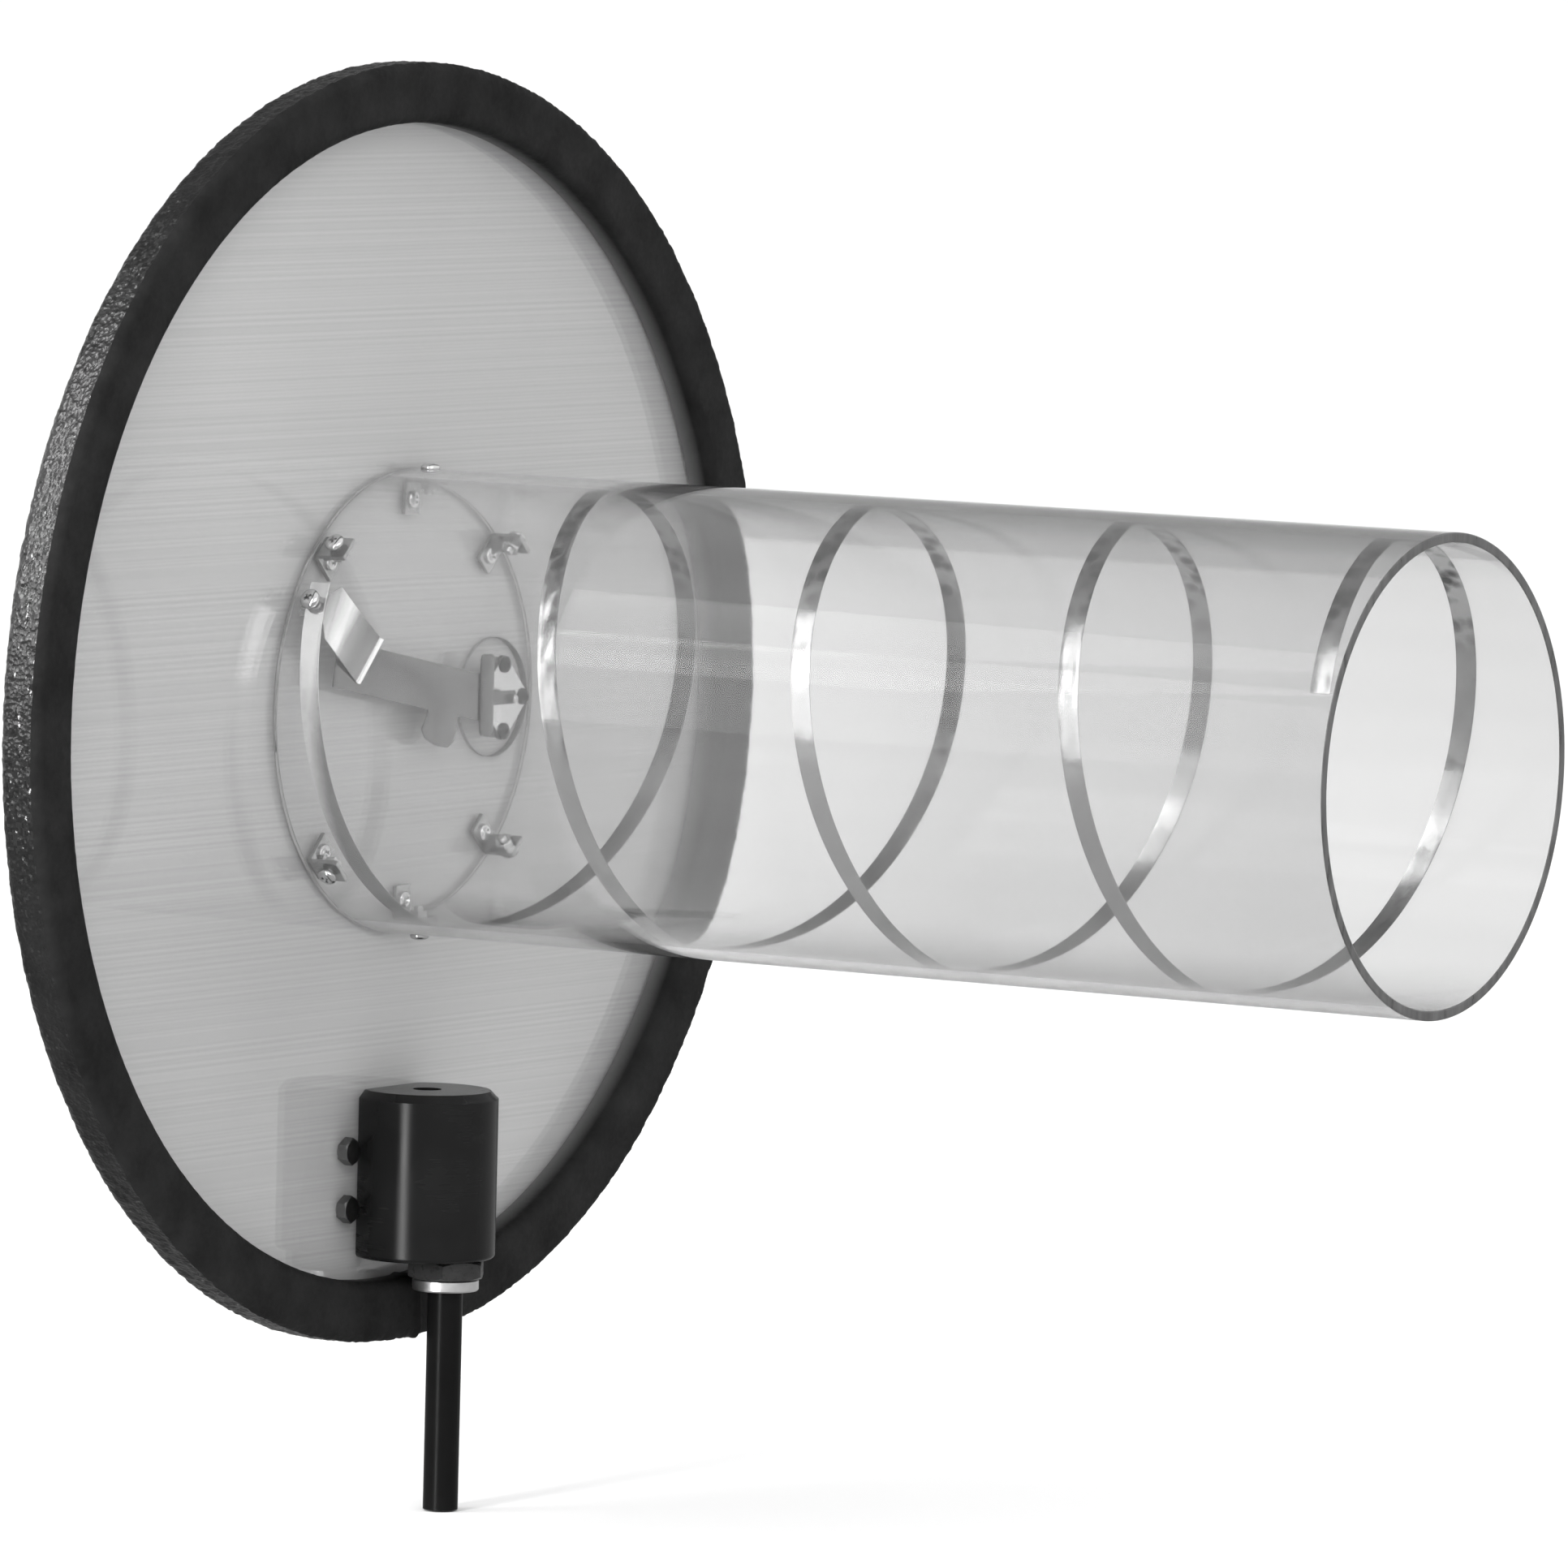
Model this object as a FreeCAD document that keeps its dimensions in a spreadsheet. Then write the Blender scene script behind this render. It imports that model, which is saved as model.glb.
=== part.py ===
# Helical UHF antenna on a stand rod: a clear tube with a metal strip wound
# inside it, on a round ground-plane disc with a foam edge trim, carried by a
# black stand block that turns on the threaded stud of a stand rod.
#
# Frame: +Z up, +X along the antenna's boresight (from the disc towards the
# open mouth of the tube), origin on the rod's axis at its lower end.
# Units are millimetres.

import FreeCAD, Part
import math
import os
import Sketcher
from FreeCAD import Vector, Placement, Rotation

os.makedirs("parts", exist_ok=True)
doc = FreeCAD.newDocument("helical_antenna")

# ----------------------------------------------------------------------------
# Driving dimensions
# ----------------------------------------------------------------------------
dims = [
    # places in the row frame
    ("disc_front_x", -23.0),      # front plane of the disc
    ("tube_axis_y", 3.0),
    ("tube_axis_z", 264.0),
    ("disc_shift_y", -10.8),      # centre of the disc from the tube's axis
    # disc
    ("disc_radius", 203.2),
    ("front_sheet_thick", 2.5),
    ("ground_plate_thick", 0.8),
    ("trim_outer_radius", 209.0),
    ("trim_inner_radius", 189.2),
    ("trim_back_radius", 195.0),
    ("trim_front_depth", 10.8),
    ("trim_back_depth", 2.0),
    ("trim_round", 4.0),
    # tube and helix
    ("tube_radius", 76.2),
    ("tube_wall", 3.175),
    ("tube_length", 391.0),
    ("strip_width", 7.2),
    ("strip_thick", 0.3),
    ("strip_first_angle", 56.0),
    ("strip_last_angle", 1507.0),
    # brackets and their fasteners
    ("bracket_width", 8.0),
    ("bracket_thick", 1.5),
    ("bracket_foot", 12.0),
    ("bracket_leg", 12.0),
    ("bracket_wall_radius", 72.9),
    ("bracket_screw_height", 7.5),
    ("bracket_foot_radius", 65.8),
    ("small_hole_radius", 1.6),
    ("small_shank_radius", 1.5),
    ("pan_head_radius", 3.2),
    ("pan_head_height", 2.1),
    ("small_nut_flats", 5.5),
    ("small_nut_height", 2.3),
    # feed
    ("feed_angle", 61.6),
    ("strap_thick", 0.5),
    ("strap_width", 18.6),
    ("lower_strap_x", 6.55),
    ("upper_strap_end_x", 7.1),
    ("end_plate_x", 7.1),
    # connector
    ("connector_y", 52.5),
    ("connector_z", -1.4),
    ("connector_window_radius", 20.0),
    ("connector_screw_circle", 11.2),
    ("flange_side", 21.0),
    ("flange_back_x", 2.6),
    ("flange_thick", 1.7),
    ("barrel_radius", 7.9),
    ("barrel_back", 21.0),
    ("barrel_thread_start", 8.6),
    ("barrel_bore_radius", 5.2),
    ("flange_screw_radius", 1.3),
    ("flange_head_radius", 2.8),
    ("flange_head_height", 1.5),
    ("spacer_radius", 2.4),
    # stand block
    ("block_radius", 23.5),
    ("block_axis_x", -9.0),
    ("block_bottom_z", 82.4),
    ("block_height", 55.1),
    ("block_top_chamfer", 2.6),
    ("block_bottom_round", 1.6),
    ("top_hole_radius", 4.76),
    ("top_hole_depth", 20.0),
    ("stud_hole_radius", 7.96),
    ("stud_hole_depth", 25.0),
    ("block_bolt_radius", 3.0),
    ("block_bolt_depth", 11.0),
    ("block_bolt_low_z", 92.0),
    ("block_bolt_high_z", 112.0),
    # backing plate and its hex bolts
    ("backing_thick", 3.0),
    ("backing_width", 72.0),
    ("backing_height", 50.0),
    ("backing_low_z", 84.0),
    ("hex_bolt_y", 26.4),
    ("hex_bolt_low_z", 99.0),
    ("hex_bolt_high_z", 118.0),
    ("hex_bolt_radius", 2.5),
    ("hex_bolt_flats", 8.0),
    ("hex_head_height", 3.5),
    # lock nut, stud and rod
    ("lock_nut_flats", 23.8),
    ("lock_nut_height", 5.9),
    ("lock_nut_bottom_z", 76.3),
    ("stud_radius", 7.9),
    ("stud_top_z", 103.0),
    ("flange_radius", 10.9),
    ("flange_low_z", 72.2),
    ("flange_high_z", 76.1),
    ("rod_radius", 5.75),
    ("rod_wall", 1.5),
    ("rod_length", 72.2),
    ("rod_insert", 18.0),
]
sheet = doc.addObject("Spreadsheet::Sheet", "Dims")
D = {}
for i, (alias, value) in enumerate(dims):
    row = i + 1
    sheet.set("A%d" % row, alias)
    sheet.set("B%d" % row, "%s" % value)
    sheet.setAlias("B%d" % row, alias)
    D[alias] = value
doc.recompute()

# The antenna's own frame: on the tube's axis, in the disc's front plane
AX, AY, AZ = D["disc_front_x"], D["tube_axis_y"], D["tube_axis_z"]
ANT = Placement(Vector(AX, AY, AZ), Rotation())

nodes = []


def keep(obj, label):
    obj.Label = label
    nodes.append(obj)
    return obj


def antenna_place(obj, dy="", dz=""):
    obj.setExpression("Placement.Base.x", "Dims.disc_front_x")
    obj.setExpression("Placement.Base.y", "Dims.tube_axis_y" + dy)
    obj.setExpression("Placement.Base.z", "Dims.tube_axis_z" + dz)


def new_body(name):
    return doc.addObject("PartDesign::Body", name)


def new_sketch(body, name, role):
    s = body.newObject("Sketcher::SketchObject", name)
    plane = [o for o in body.Origin.OriginFeatures if o.Role == role][0]
    s.AttachmentSupport = [(plane, "")]
    s.MapMode = "FlatFace"
    return s


def fix_point(s, geo, pos, x, y, ex=None, ey=None):
    i = s.addConstraint(Sketcher.Constraint("DistanceX", -1, 1, geo, pos, x))
    if ex:
        s.setExpression("Constraints[%d]" % i, ex)
    i = s.addConstraint(Sketcher.Constraint("DistanceY", -1, 1, geo, pos, y))
    if ey:
        s.setExpression("Constraints[%d]" % i, ey)


def loop(s, pts):
    # closed outline through points (x, y) or (x, y, expression_x, expression_y)
    n = len(pts)
    first = None
    for k in range(n):
        a, b = pts[k], pts[(k + 1) % n]
        g = s.addGeometry(Part.LineSegment(Vector(a[0], a[1], 0), Vector(b[0], b[1], 0)), False)
        if first is None:
            first = g
    for k in range(n):
        s.addConstraint(Sketcher.Constraint("Coincident", first + k, 2, first + (k + 1) % n, 1))
    for k in range(n):
        p = pts[k]
        ex = p[2] if len(p) > 2 else None
        ey = p[3] if len(p) > 3 else None
        fix_point(s, first + k, 1, p[0], p[1], ex, ey)
    return first


def ring(s, x, y, r, er, ex=None, ey=None):
    g = s.addGeometry(Part.Circle(Vector(x, y, 0), Vector(0, 0, 1), r), False)
    i = s.addConstraint(Sketcher.Constraint("Radius", g, r))
    if er:
        s.setExpression("Constraints[%d]" % i, er)
    if x == 0 and y == 0 and not ex and not ey:
        s.addConstraint(Sketcher.Constraint("Coincident", g, 3, -1, 1))
    else:
        fix_point(s, g, 3, x, y, ex, ey)
    return g


def pad(body, s, name, length, expr, reverse=False, symmetric=False):
    p = body.newObject("PartDesign::Pad", name)
    p.Profile = s
    p.Type = "Length"
    p.Length = length
    if expr:
        p.setExpression("Length", expr)
    if symmetric:
        p.SideType = "Symmetric"
    p.Reversed = reverse
    s.Visibility = False
    doc.recompute()
    return p


def pocket(body, s, name, length=None, expr=None, reverse=False, symmetric=False, through=False):
    before = body.Shape.Volume
    p = body.newObject("PartDesign::Pocket", name)
    p.Profile = s
    if symmetric:
        p.SideType = "Symmetric"
    if through:
        p.Type = "ThroughAll"
    else:
        p.Type = "Length"
        p.Length = length
        if expr:
            p.setExpression("Length", expr)
    p.Reversed = reverse
    doc.recompute()
    if not body.Shape.Volume < before - 1e-3:
        raise RuntimeError("pocket %s cuts nothing" % name)
    return p


def revolve(body, s, name, axis):
    r = body.newObject("PartDesign::Revolution", name)
    r.Profile = s
    r.ReferenceAxis = (s, [axis])
    r.Angle = 360.0
    doc.recompute()
    return r


def round_edges(body, name, size, expr, pick, kind="PartDesign::Fillet"):
    base = body.Tip
    subs = ["Edge%d" % (i + 1) for i, e in enumerate(base.Shape.Edges) if pick(e)]
    if not subs:
        raise RuntimeError("no edges for %s" % name)
    f = body.newObject(kind, name)
    f.Base = (base, subs)
    if kind == "PartDesign::Fillet":
        f.Radius = size
        if expr:
            f.setExpression("Radius", expr)
    else:
        f.Size = size
        if expr:
            f.setExpression("Size", expr)
    doc.recompute()
    return f


def is_circle(e, radius, tol=0.02):
    return isinstance(e.Curve, Part.Circle) and abs(e.Curve.Radius - radius) < tol


def group(label, shapes, place=None):
    # several identical separate solids that share one node
    solids = []
    for sh in shapes:
        solids.extend(sh.Solids)
    f = doc.addObject("Part::Feature", label)
    f.Shape = Part.makeCompound(solids)
    if place is not None:
        f.Placement = place
    return keep(f, label)


def moved(shape, place):
    c = shape.copy()
    c.Placement = place.multiply(c.Placement)
    return c


def about_x(angle):
    # turn about the tube's axis: 0 is up, positive towards -Y
    return Placement(Vector(0, 0, 0), Rotation(Vector(1, 0, 0), angle))


# ----------------------------------------------------------------------------
# Disc: clear front sheet and metal ground plate behind it
# ----------------------------------------------------------------------------
bracket_angles = [0.0, 45.0, 135.0, 180.0, 225.0, 315.0]


def disc_point(angle, radius):
    a = math.radians(angle)
    return (-radius * math.sin(a), radius * math.cos(a))


foot_points = [disc_point(a, D["bracket_foot_radius"]) for a in bracket_angles]
bolt_y = D["hex_bolt_y"]
hex_points = [(sy * bolt_y - AY, z - AZ) for sy in (-1, 1) for z in (D["hex_bolt_low_z"], D["hex_bolt_high_z"])]
block_points = [(0.0 - AY, z - AZ) for z in (D["block_bolt_low_z"], D["block_bolt_high_z"])]
conn_points = [(D["connector_y"] + D["connector_screw_circle"] * math.cos(math.radians(a)),
                D["connector_z"] + D["connector_screw_circle"] * math.sin(math.radians(a))) for a in (0, 90, 180, 270)]


def disc_layer(name, back, thick_expr, thick, front_expr, front, window):
    body = new_body(name)
    s = new_sketch(body, name + "_outline", "YZ_Plane")
    ring(s, D["disc_shift_y"], 0.0, D["disc_radius"], "Dims.disc_radius", "Dims.disc_shift_y")
    for (y, z) in foot_points:
        ring(s, y, z, D["small_hole_radius"], "Dims.small_hole_radius")
    for (y, z) in hex_points:
        ring(s, y, z, D["hex_bolt_radius"] + 0.1, "Dims.hex_bolt_radius + 0.1")
    for (y, z) in block_points:
        ring(s, y, z, D["block_bolt_radius"] + 0.15, "Dims.block_bolt_radius + 0.15")
    if window:
        ring(s, D["connector_y"], D["connector_z"], D["connector_window_radius"],
             "Dims.connector_window_radius", "Dims.connector_y", "Dims.connector_z")
    else:
        ring(s, D["connector_y"], D["connector_z"], D["barrel_radius"] + 0.2,
             "Dims.barrel_radius + 0.2", "Dims.connector_y", "Dims.connector_z")
        for (y, z) in conn_points:
            ring(s, y, z, D["flange_screw_radius"] + 0.1, "Dims.flange_screw_radius + 0.1")
    pad(body, s, name + "_pad", thick, thick_expr, reverse=True)
    body.setExpression("Placement.Base.x", "Dims.disc_front_x" + front_expr)
    body.setExpression("Placement.Base.y", "Dims.tube_axis_y")
    body.setExpression("Placement.Base.z", "Dims.tube_axis_z")
    return keep(body, name)


disc_layer("clear_front_sheet", 0, "Dims.front_sheet_thick", D["front_sheet_thick"], "", 0.0, True)
disc_layer("ground_plate", 0, "Dims.ground_plate_thick", D["ground_plate_thick"], " - Dims.front_sheet_thick", 0.0, False)
plate_back = D["front_sheet_thick"] + D["ground_plate_thick"]

# Foam edge trim: a U channel that takes the disc's edge in its slot
trim = new_body("foam_edge_trim")
s = new_sketch(trim, "trim_section", "XY_Plane")
tf, tb = D["trim_front_depth"], D["trim_back_depth"]
back_e = "-(Dims.front_sheet_thick + Dims.ground_plate_thick)"
loop(s, [
    (tf, D["trim_inner_radius"], "Dims.trim_front_depth", "Dims.trim_inner_radius"),
    (tf, D["trim_outer_radius"], "Dims.trim_front_depth", "Dims.trim_outer_radius"),
    (-plate_back - tb, D["trim_outer_radius"], back_e + " - Dims.trim_back_depth", "Dims.trim_outer_radius"),
    (-plate_back - tb, D["trim_back_radius"], back_e + " - Dims.trim_back_depth", "Dims.trim_back_radius"),
    (-plate_back, D["trim_back_radius"], back_e, "Dims.trim_back_radius"),
    (-plate_back, D["disc_radius"], back_e, "Dims.disc_radius"),
    (0.0, D["disc_radius"], None, "Dims.disc_radius"),
    (0.0, D["trim_inner_radius"], None, "Dims.trim_inner_radius"),
])
revolve(trim, s, "trim_ring", "H_Axis")
round_edges(trim, "trim_outer_round", D["trim_round"], "Dims.trim_round",
            lambda e: is_circle(e, D["trim_outer_radius"]))
round_edges(trim, "trim_inner_round", 3.0, None,
            lambda e: is_circle(e, D["trim_inner_radius"]) and e.Curve.Center.x > 1.0)
trim.setExpression("Placement.Base.x", "Dims.disc_front_x")
trim.setExpression("Placement.Base.y", "Dims.tube_axis_y + Dims.disc_shift_y")
trim.setExpression("Placement.Base.z", "Dims.tube_axis_z")
keep(trim, "foam_edge_trim")

# ----------------------------------------------------------------------------
# Antenna tube: drilled for the bracket screws and the feed screw
# ----------------------------------------------------------------------------
along_x = Rotation(Vector(0, 1, 0), 90)
outer = doc.addObject("Part::Cylinder", "tube_outside")
outer.setExpression("Radius", "Dims.tube_radius")
outer.setExpression("Height", "Dims.tube_length")
outer.Placement = Placement(Vector(0, 0, 0), along_x)
inner = doc.addObject("Part::Cylinder", "tube_inside")
inner.setExpression("Radius", "Dims.tube_radius - Dims.tube_wall")
inner.setExpression("Height", "Dims.tube_length + 2")
inner.Placement = Placement(Vector(-1, 0, 0), along_x)
drills = []
for a in bracket_angles + [D["feed_angle"]]:
    c = doc.addObject("Part::Cylinder", "drill_%d" % int(a))
    c.setExpression("Radius", "Dims.small_hole_radius")
    c.Height = 12.0
    c.Placement = about_x(a).multiply(Placement(Vector(D["bracket_screw_height"], 0, 68.0), Rotation()))
    drills.append(c)
cutters = doc.addObject("Part::MultiFuse", "tube_cutters")
cutters.Shapes = [inner] + drills
tube = doc.addObject("Part::Cut", "antenna_tube")
tube.Base = outer
tube.Tool = cutters
antenna_place(tube)
keep(tube, "antenna_tube")

# ----------------------------------------------------------------------------
# Helix strip, laid by hand against the tube's inner wall: its turns are close
# to an even pitch but not exactly on it. Each station is the angle wound so
# far (degrees, 0 up and positive towards -Y) and the strip's place along the
# tube there, from the disc's front plane
# ----------------------------------------------------------------------------
stations = [
    (60.0, 8.2), (93.0, 13.9), (126.0, 19.8), (159.0, 26.8), (192.0, 35.6), (225.0, 46.5), (258.0, 56.9),
    (291.0, 65.4), (324.0, 72.7), (357.0, 80.1), (390.0, 88.6), (423.0, 98.8), (456.0, 108.9), (489.0, 118.4),
    (522.0, 128.0), (555.0, 138.6), (588.0, 150.8), (621.0, 162.0), (654.0, 170.4), (687.0, 176.8), (720.0, 182.3),
    (753.0, 188.2), (786.0, 195.6), (819.0, 205.2), (852.0, 216.2), (885.0, 227.0), (918.0, 236.6), (951.0, 246.3),
    (984.0, 255.8), (1017.0, 264.1), (1050.0, 271.8), (1083.0, 279.2), (1116.0, 286.8), (1149.0, 295.0),
    (1182.0, 304.1), (1215.0, 313.9), (1248.0, 324.0), (1281.0, 334.1), (1314.0, 343.9), (1347.0, 352.9),
    (1380.0, 361.1), (1413.0, 368.4), (1446.0, 374.9), (1479.0, 380.5), (1512.0, 385.4),
]
r_out = D["tube_radius"] - D["tube_wall"] - 0.01
r_in = r_out - D["strip_thick"]


def strip_x(angle):
    # smooth curve through the stations (cubic between neighbours)
    gap = stations[1][0] - stations[0][0]
    k = int((angle - stations[0][0]) // gap)
    k = max(0, min(k, len(stations) - 2))
    u = (angle - stations[k][0]) / gap
    p1, p2 = stations[k][1], stations[k + 1][1]
    p0 = stations[k - 1][1] if k > 0 else 2 * p1 - p2
    p3 = stations[k + 2][1] if k + 2 < len(stations) else 2 * p2 - p1
    if u < 0:
        return p1 + (p2 - p1) * u
    m1, m2 = (p2 - p0) / 2.0, (p3 - p1) / 2.0
    return ((2 * u ** 3 - 3 * u ** 2 + 1) * p1 + (u ** 3 - 2 * u ** 2 + u) * m1
            + (-2 * u ** 3 + 3 * u ** 2) * p2 + (u ** 3 - u ** 2) * m2)


steps = 112
span = D["strip_last_angle"] - D["strip_first_angle"]


def strip_curve(dx, radius):
    pts = []
    for k in range(steps + 1):
        a = D["strip_first_angle"] + span * k / steps
        t = math.radians(a)
        pts.append(Vector(strip_x(a) + dx, -radius * math.sin(t), radius * math.cos(t)))
    c = Part.BSplineCurve()
    c.interpolate(pts)
    return c.toShape()


hw = D["strip_width"] / 2.0
e1, e2 = strip_curve(-hw, r_in), strip_curve(hw, r_in)
e3, e4 = strip_curve(hw, r_out), strip_curve(-hw, r_out)
faces = [Part.makeRuledSurface(e1, e2), Part.makeRuledSurface(e2, e3),
         Part.makeRuledSurface(e3, e4), Part.makeRuledSurface(e4, e1)]
for at in (0, -1):
    vs = [e.Vertexes[at].Point for e in (e1, e2, e3, e4)]
    faces.append(Part.Face(Part.makePolygon(vs + [vs[0]])))
shell = Part.makeShell(faces)
shell.sewShape()
strip_solid = Part.makeSolid(shell)
if strip_solid.Volume < 0:
    strip_solid.reverse()
feed_drill = Part.makeCylinder(D["small_hole_radius"], 12.0, Vector(D["bracket_screw_height"], 0, 68.0), Vector(0, 0, 1))
feed_drill.rotate(Vector(0, 0, 0), Vector(1, 0, 0), D["feed_angle"])
strip_solid = strip_solid.cut(feed_drill)
strip = doc.addObject("Part::Feature", "helix_strip")
strip.Shape = Part.makeCompound(strip_solid.Solids)
strip.Placement = ANT
keep(strip, "helix_strip")

# ----------------------------------------------------------------------------
# L-brackets that hold the tube's foot to the disc
# ----------------------------------------------------------------------------
bracket_names = ["bracket_top", "bracket_upper_left", "bracket_lower_left",
                 "bracket_bottom", "bracket_lower_right", "bracket_upper_right"]
for name, angle in zip(bracket_names, bracket_angles):
    b = new_body(name)
    s = new_sketch(b, name + "_section", "XZ_Plane")
    rw = D["bracket_wall_radius"]
    th = D["bracket_thick"]
    loop(s, [
        (0.0, rw - D["bracket_foot"], None, "Dims.bracket_wall_radius - Dims.bracket_foot"),
        (0.0, rw, None, "Dims.bracket_wall_radius"),
        (D["bracket_leg"], rw, "Dims.bracket_leg", "Dims.bracket_wall_radius"),
        (D["bracket_leg"], rw - th, "Dims.bracket_leg", "Dims.bracket_wall_radius - Dims.bracket_thick"),
        (th, rw - th, "Dims.bracket_thick", "Dims.bracket_wall_radius - Dims.bracket_thick"),
        (th, rw - D["bracket_foot"], "Dims.bracket_thick", "Dims.bracket_wall_radius - Dims.bracket_foot"),
    ])
    pad(b, s, name + "_pad", D["bracket_width"], "Dims.bracket_width", symmetric=True)
    s = new_sketch(b, name + "_foot_hole", "YZ_Plane")
    ring(s, 0.0, D["bracket_foot_radius"], D["small_hole_radius"], "Dims.small_hole_radius", None, "Dims.bracket_foot_radius")
    pocket(b, s, name + "_foot_pocket", 6.0, None, symmetric=True)
    s = new_sketch(b, name + "_leg_hole", "XY_Plane")
    ring(s, D["bracket_screw_height"], 0.0, D["small_hole_radius"], "Dims.small_hole_radius", "Dims.bracket_screw_height")
    pocket(b, s, name + "_leg_pocket", 200.0, None, symmetric=True)
    round_edges(b, name + "_bend", 1.8, None,
                lambda e: abs(e.BoundBox.XMax) < 0.01 and abs(e.BoundBox.ZMin - rw) < 0.01 and abs(e.BoundBox.ZMax - rw) < 0.01)
    b.Placement = ANT.multiply(about_x(angle))
    keep(b, name)

# ----------------------------------------------------------------------------
# Master fasteners: each is a revolved or padded solid along +Z, with the
# underside of its head at z = 0 and the head above
# ----------------------------------------------------------------------------


def pan_screw(name, head_r, head_h, head_re, head_he, shank_r, shank_re, length):
    b = new_body(name)
    s = new_sketch(b, name + "_section", "XZ_Plane")
    top = head_r * 0.55
    loop(s, [
        (0.0, -length),
        (shank_r, -length, shank_re, None),
        (shank_r, 0.0, shank_re, None),
        (head_r, 0.0, head_re, None),
        (head_r, head_h * 0.35, head_re, "%s * 0.35" % head_he),
        (head_r * 0.86, head_h * 0.78, "%s * 0.86" % head_re, "%s * 0.78" % head_he),
        (top, head_h, "%s * 0.55" % head_re, head_he),
        (0.0, head_h, None, head_he),
    ])
    revolve(b, s, name + "_turn", "V_Axis")
    # cross recess in the head
    s = new_sketch(b, name + "_recess", "XY_Plane")
    w, q = head_r * 0.13, head_r * 0.5
    loop(s, [(-q, -w), (-w, -w), (-w, -q), (w, -q), (w, -w), (q, -w), (q, w), (w, w), (w, q), (-w, q), (-w, w), (-q, w)])
    s.AttachmentOffset = Placement(Vector(0, 0, head_h * 0.45), Rotation())
    pocket(b, s, name + "_recess_cut", head_h, None, reverse=True)
    b.Visibility = False
    return b


def hex_nut(name, flats, flats_e, height, height_e, bore_r, bore_e):
    b = new_body(name)
    s = new_sketch(b, name + "_outline", "XY_Plane")
    c = flats / math.sqrt(3.0)
    pts = []
    for k in range(6):
        a = math.radians(60.0 * k)
        pts.append((c * math.cos(a), c * math.sin(a),
                    "%s * %.8f" % (flats_e, math.cos(a) / math.sqrt(3.0)),
                    "%s * %.8f" % (flats_e, math.sin(a) / math.sqrt(3.0))))
    loop(s, pts)
    ring(s, 0.0, 0.0, bore_r, bore_e)
    pad(b, s, name + "_pad", height, height_e)
    # the corners are turned off at 30 degrees on both ends
    s = new_sketch(b, name + "_bevel", "XZ_Plane")
    f, o = flats / 2.0, c + 1.0
    d = (o - f) * math.tan(math.radians(30.0))
    loop(s, [(f, 0.0), (o, 0.0), (o, d)])
    loop(s, [(f, height), (o, height - d), (o, height)])
    g = b.newObject("PartDesign::Groove", name + "_bevels")
    g.Profile = s
    g.ReferenceAxis = (s, ["V_Axis"])
    g.Angle = 360.0
    doc.recompute()
    b.Visibility = False
    return b


shank = D["small_shank_radius"]
m_tube = pan_screw("pan_screw_tube", D["pan_head_radius"], D["pan_head_height"], "Dims.pan_head_radius", "Dims.pan_head_height",
                   shank, "Dims.small_shank_radius", 8.6)
m_foot = pan_screw("pan_screw_foot", D["pan_head_radius"] * 0.9, D["pan_head_height"] * 0.85, "Dims.pan_head_radius * 0.9",
                   "Dims.pan_head_height * 0.85", shank, "Dims.small_shank_radius", 8.4)
m_feed = pan_screw("pan_screw_feed", D["pan_head_radius"] * 1.05, D["pan_head_height"] * 1.05, "Dims.pan_head_radius * 1.05",
                   "Dims.pan_head_height * 1.05", shank, "Dims.small_shank_radius", 8.6)
m_flange = pan_screw("pan_screw_flange", D["flange_head_radius"], D["flange_head_height"], "Dims.flange_head_radius",
                     "Dims.flange_head_height", D["flange_screw_radius"] - 0.05, "Dims.flange_screw_radius - 0.05", 10.6)
m_nut = hex_nut("hex_nut_small", D["small_nut_flats"], "Dims.small_nut_flats", D["small_nut_height"], "Dims.small_nut_height",
                shank + 0.04, "Dims.small_shank_radius + 0.04")
m_nut_c = hex_nut("hex_nut_flange", 4.9, "4.9", 1.9, "1.9", D["flange_screw_radius"], "Dims.flange_screw_radius")
m_nut_h = hex_nut("hex_nut_bolt", D["hex_bolt_flats"], "Dims.hex_bolt_flats", 3.9, "3.9", D["hex_bolt_radius"] + 0.04,
                  "Dims.hex_bolt_radius + 0.04")
doc.recompute()

# radial screws through the tube wall: head outside, nut inside
h7 = D["bracket_screw_height"]


def radial(angle, radius):
    return about_x(angle).multiply(Placement(Vector(h7, 0, radius), Rotation()))


group("tube_screws", [moved(m_tube.Shape, radial(a, D["tube_radius"])) for a in bracket_angles], ANT)
nut_r = D["bracket_wall_radius"] - D["bracket_thick"] - D["small_nut_height"]
group("tube_nuts", [moved(m_nut.Shape, radial(a, nut_r)) for a in bracket_angles], ANT)

# axial screws through the bracket feet and the disc: head in front, nut behind
faceX = Rotation(Vector(0, 1, 0), 90)        # +Z of the fastener onto +X


def axial(y, z, x):
    return Placement(Vector(x, y, z), faceX)


group("disc_screws", [moved(m_foot.Shape, axial(y, z, D["bracket_thick"])) for (y, z) in foot_points], ANT)
group("disc_nuts", [moved(m_nut.Shape, axial(y, z, -plate_back - D["small_nut_height"])) for (y, z) in foot_points], ANT)

# ----------------------------------------------------------------------------
# Feed: screw on the near wall, upper strap bent down from it, lower strap
# across to the connector with its tuning tab, and the end plate
# ----------------------------------------------------------------------------
fa = D["feed_angle"]
fs = doc.addObject("Part::Feature", "feed_screw")
fs.Shape = Part.makeCompound(moved(m_feed.Shape, radial(fa, D["tube_radius"])).Solids)
fs.Placement = ANT
keep(fs, "feed_screw")

st = D["strap_thick"]
wall_r = D["tube_radius"] - D["tube_wall"]
tab_v = 1.35                                   # the tab clears the strip's inner face
profile = [(tab_v, 2.6), (tab_v, 10.9), (7.8, 10.5), (18.1, 8.7), (38.2, D["upper_strap_end_x"])]


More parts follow.
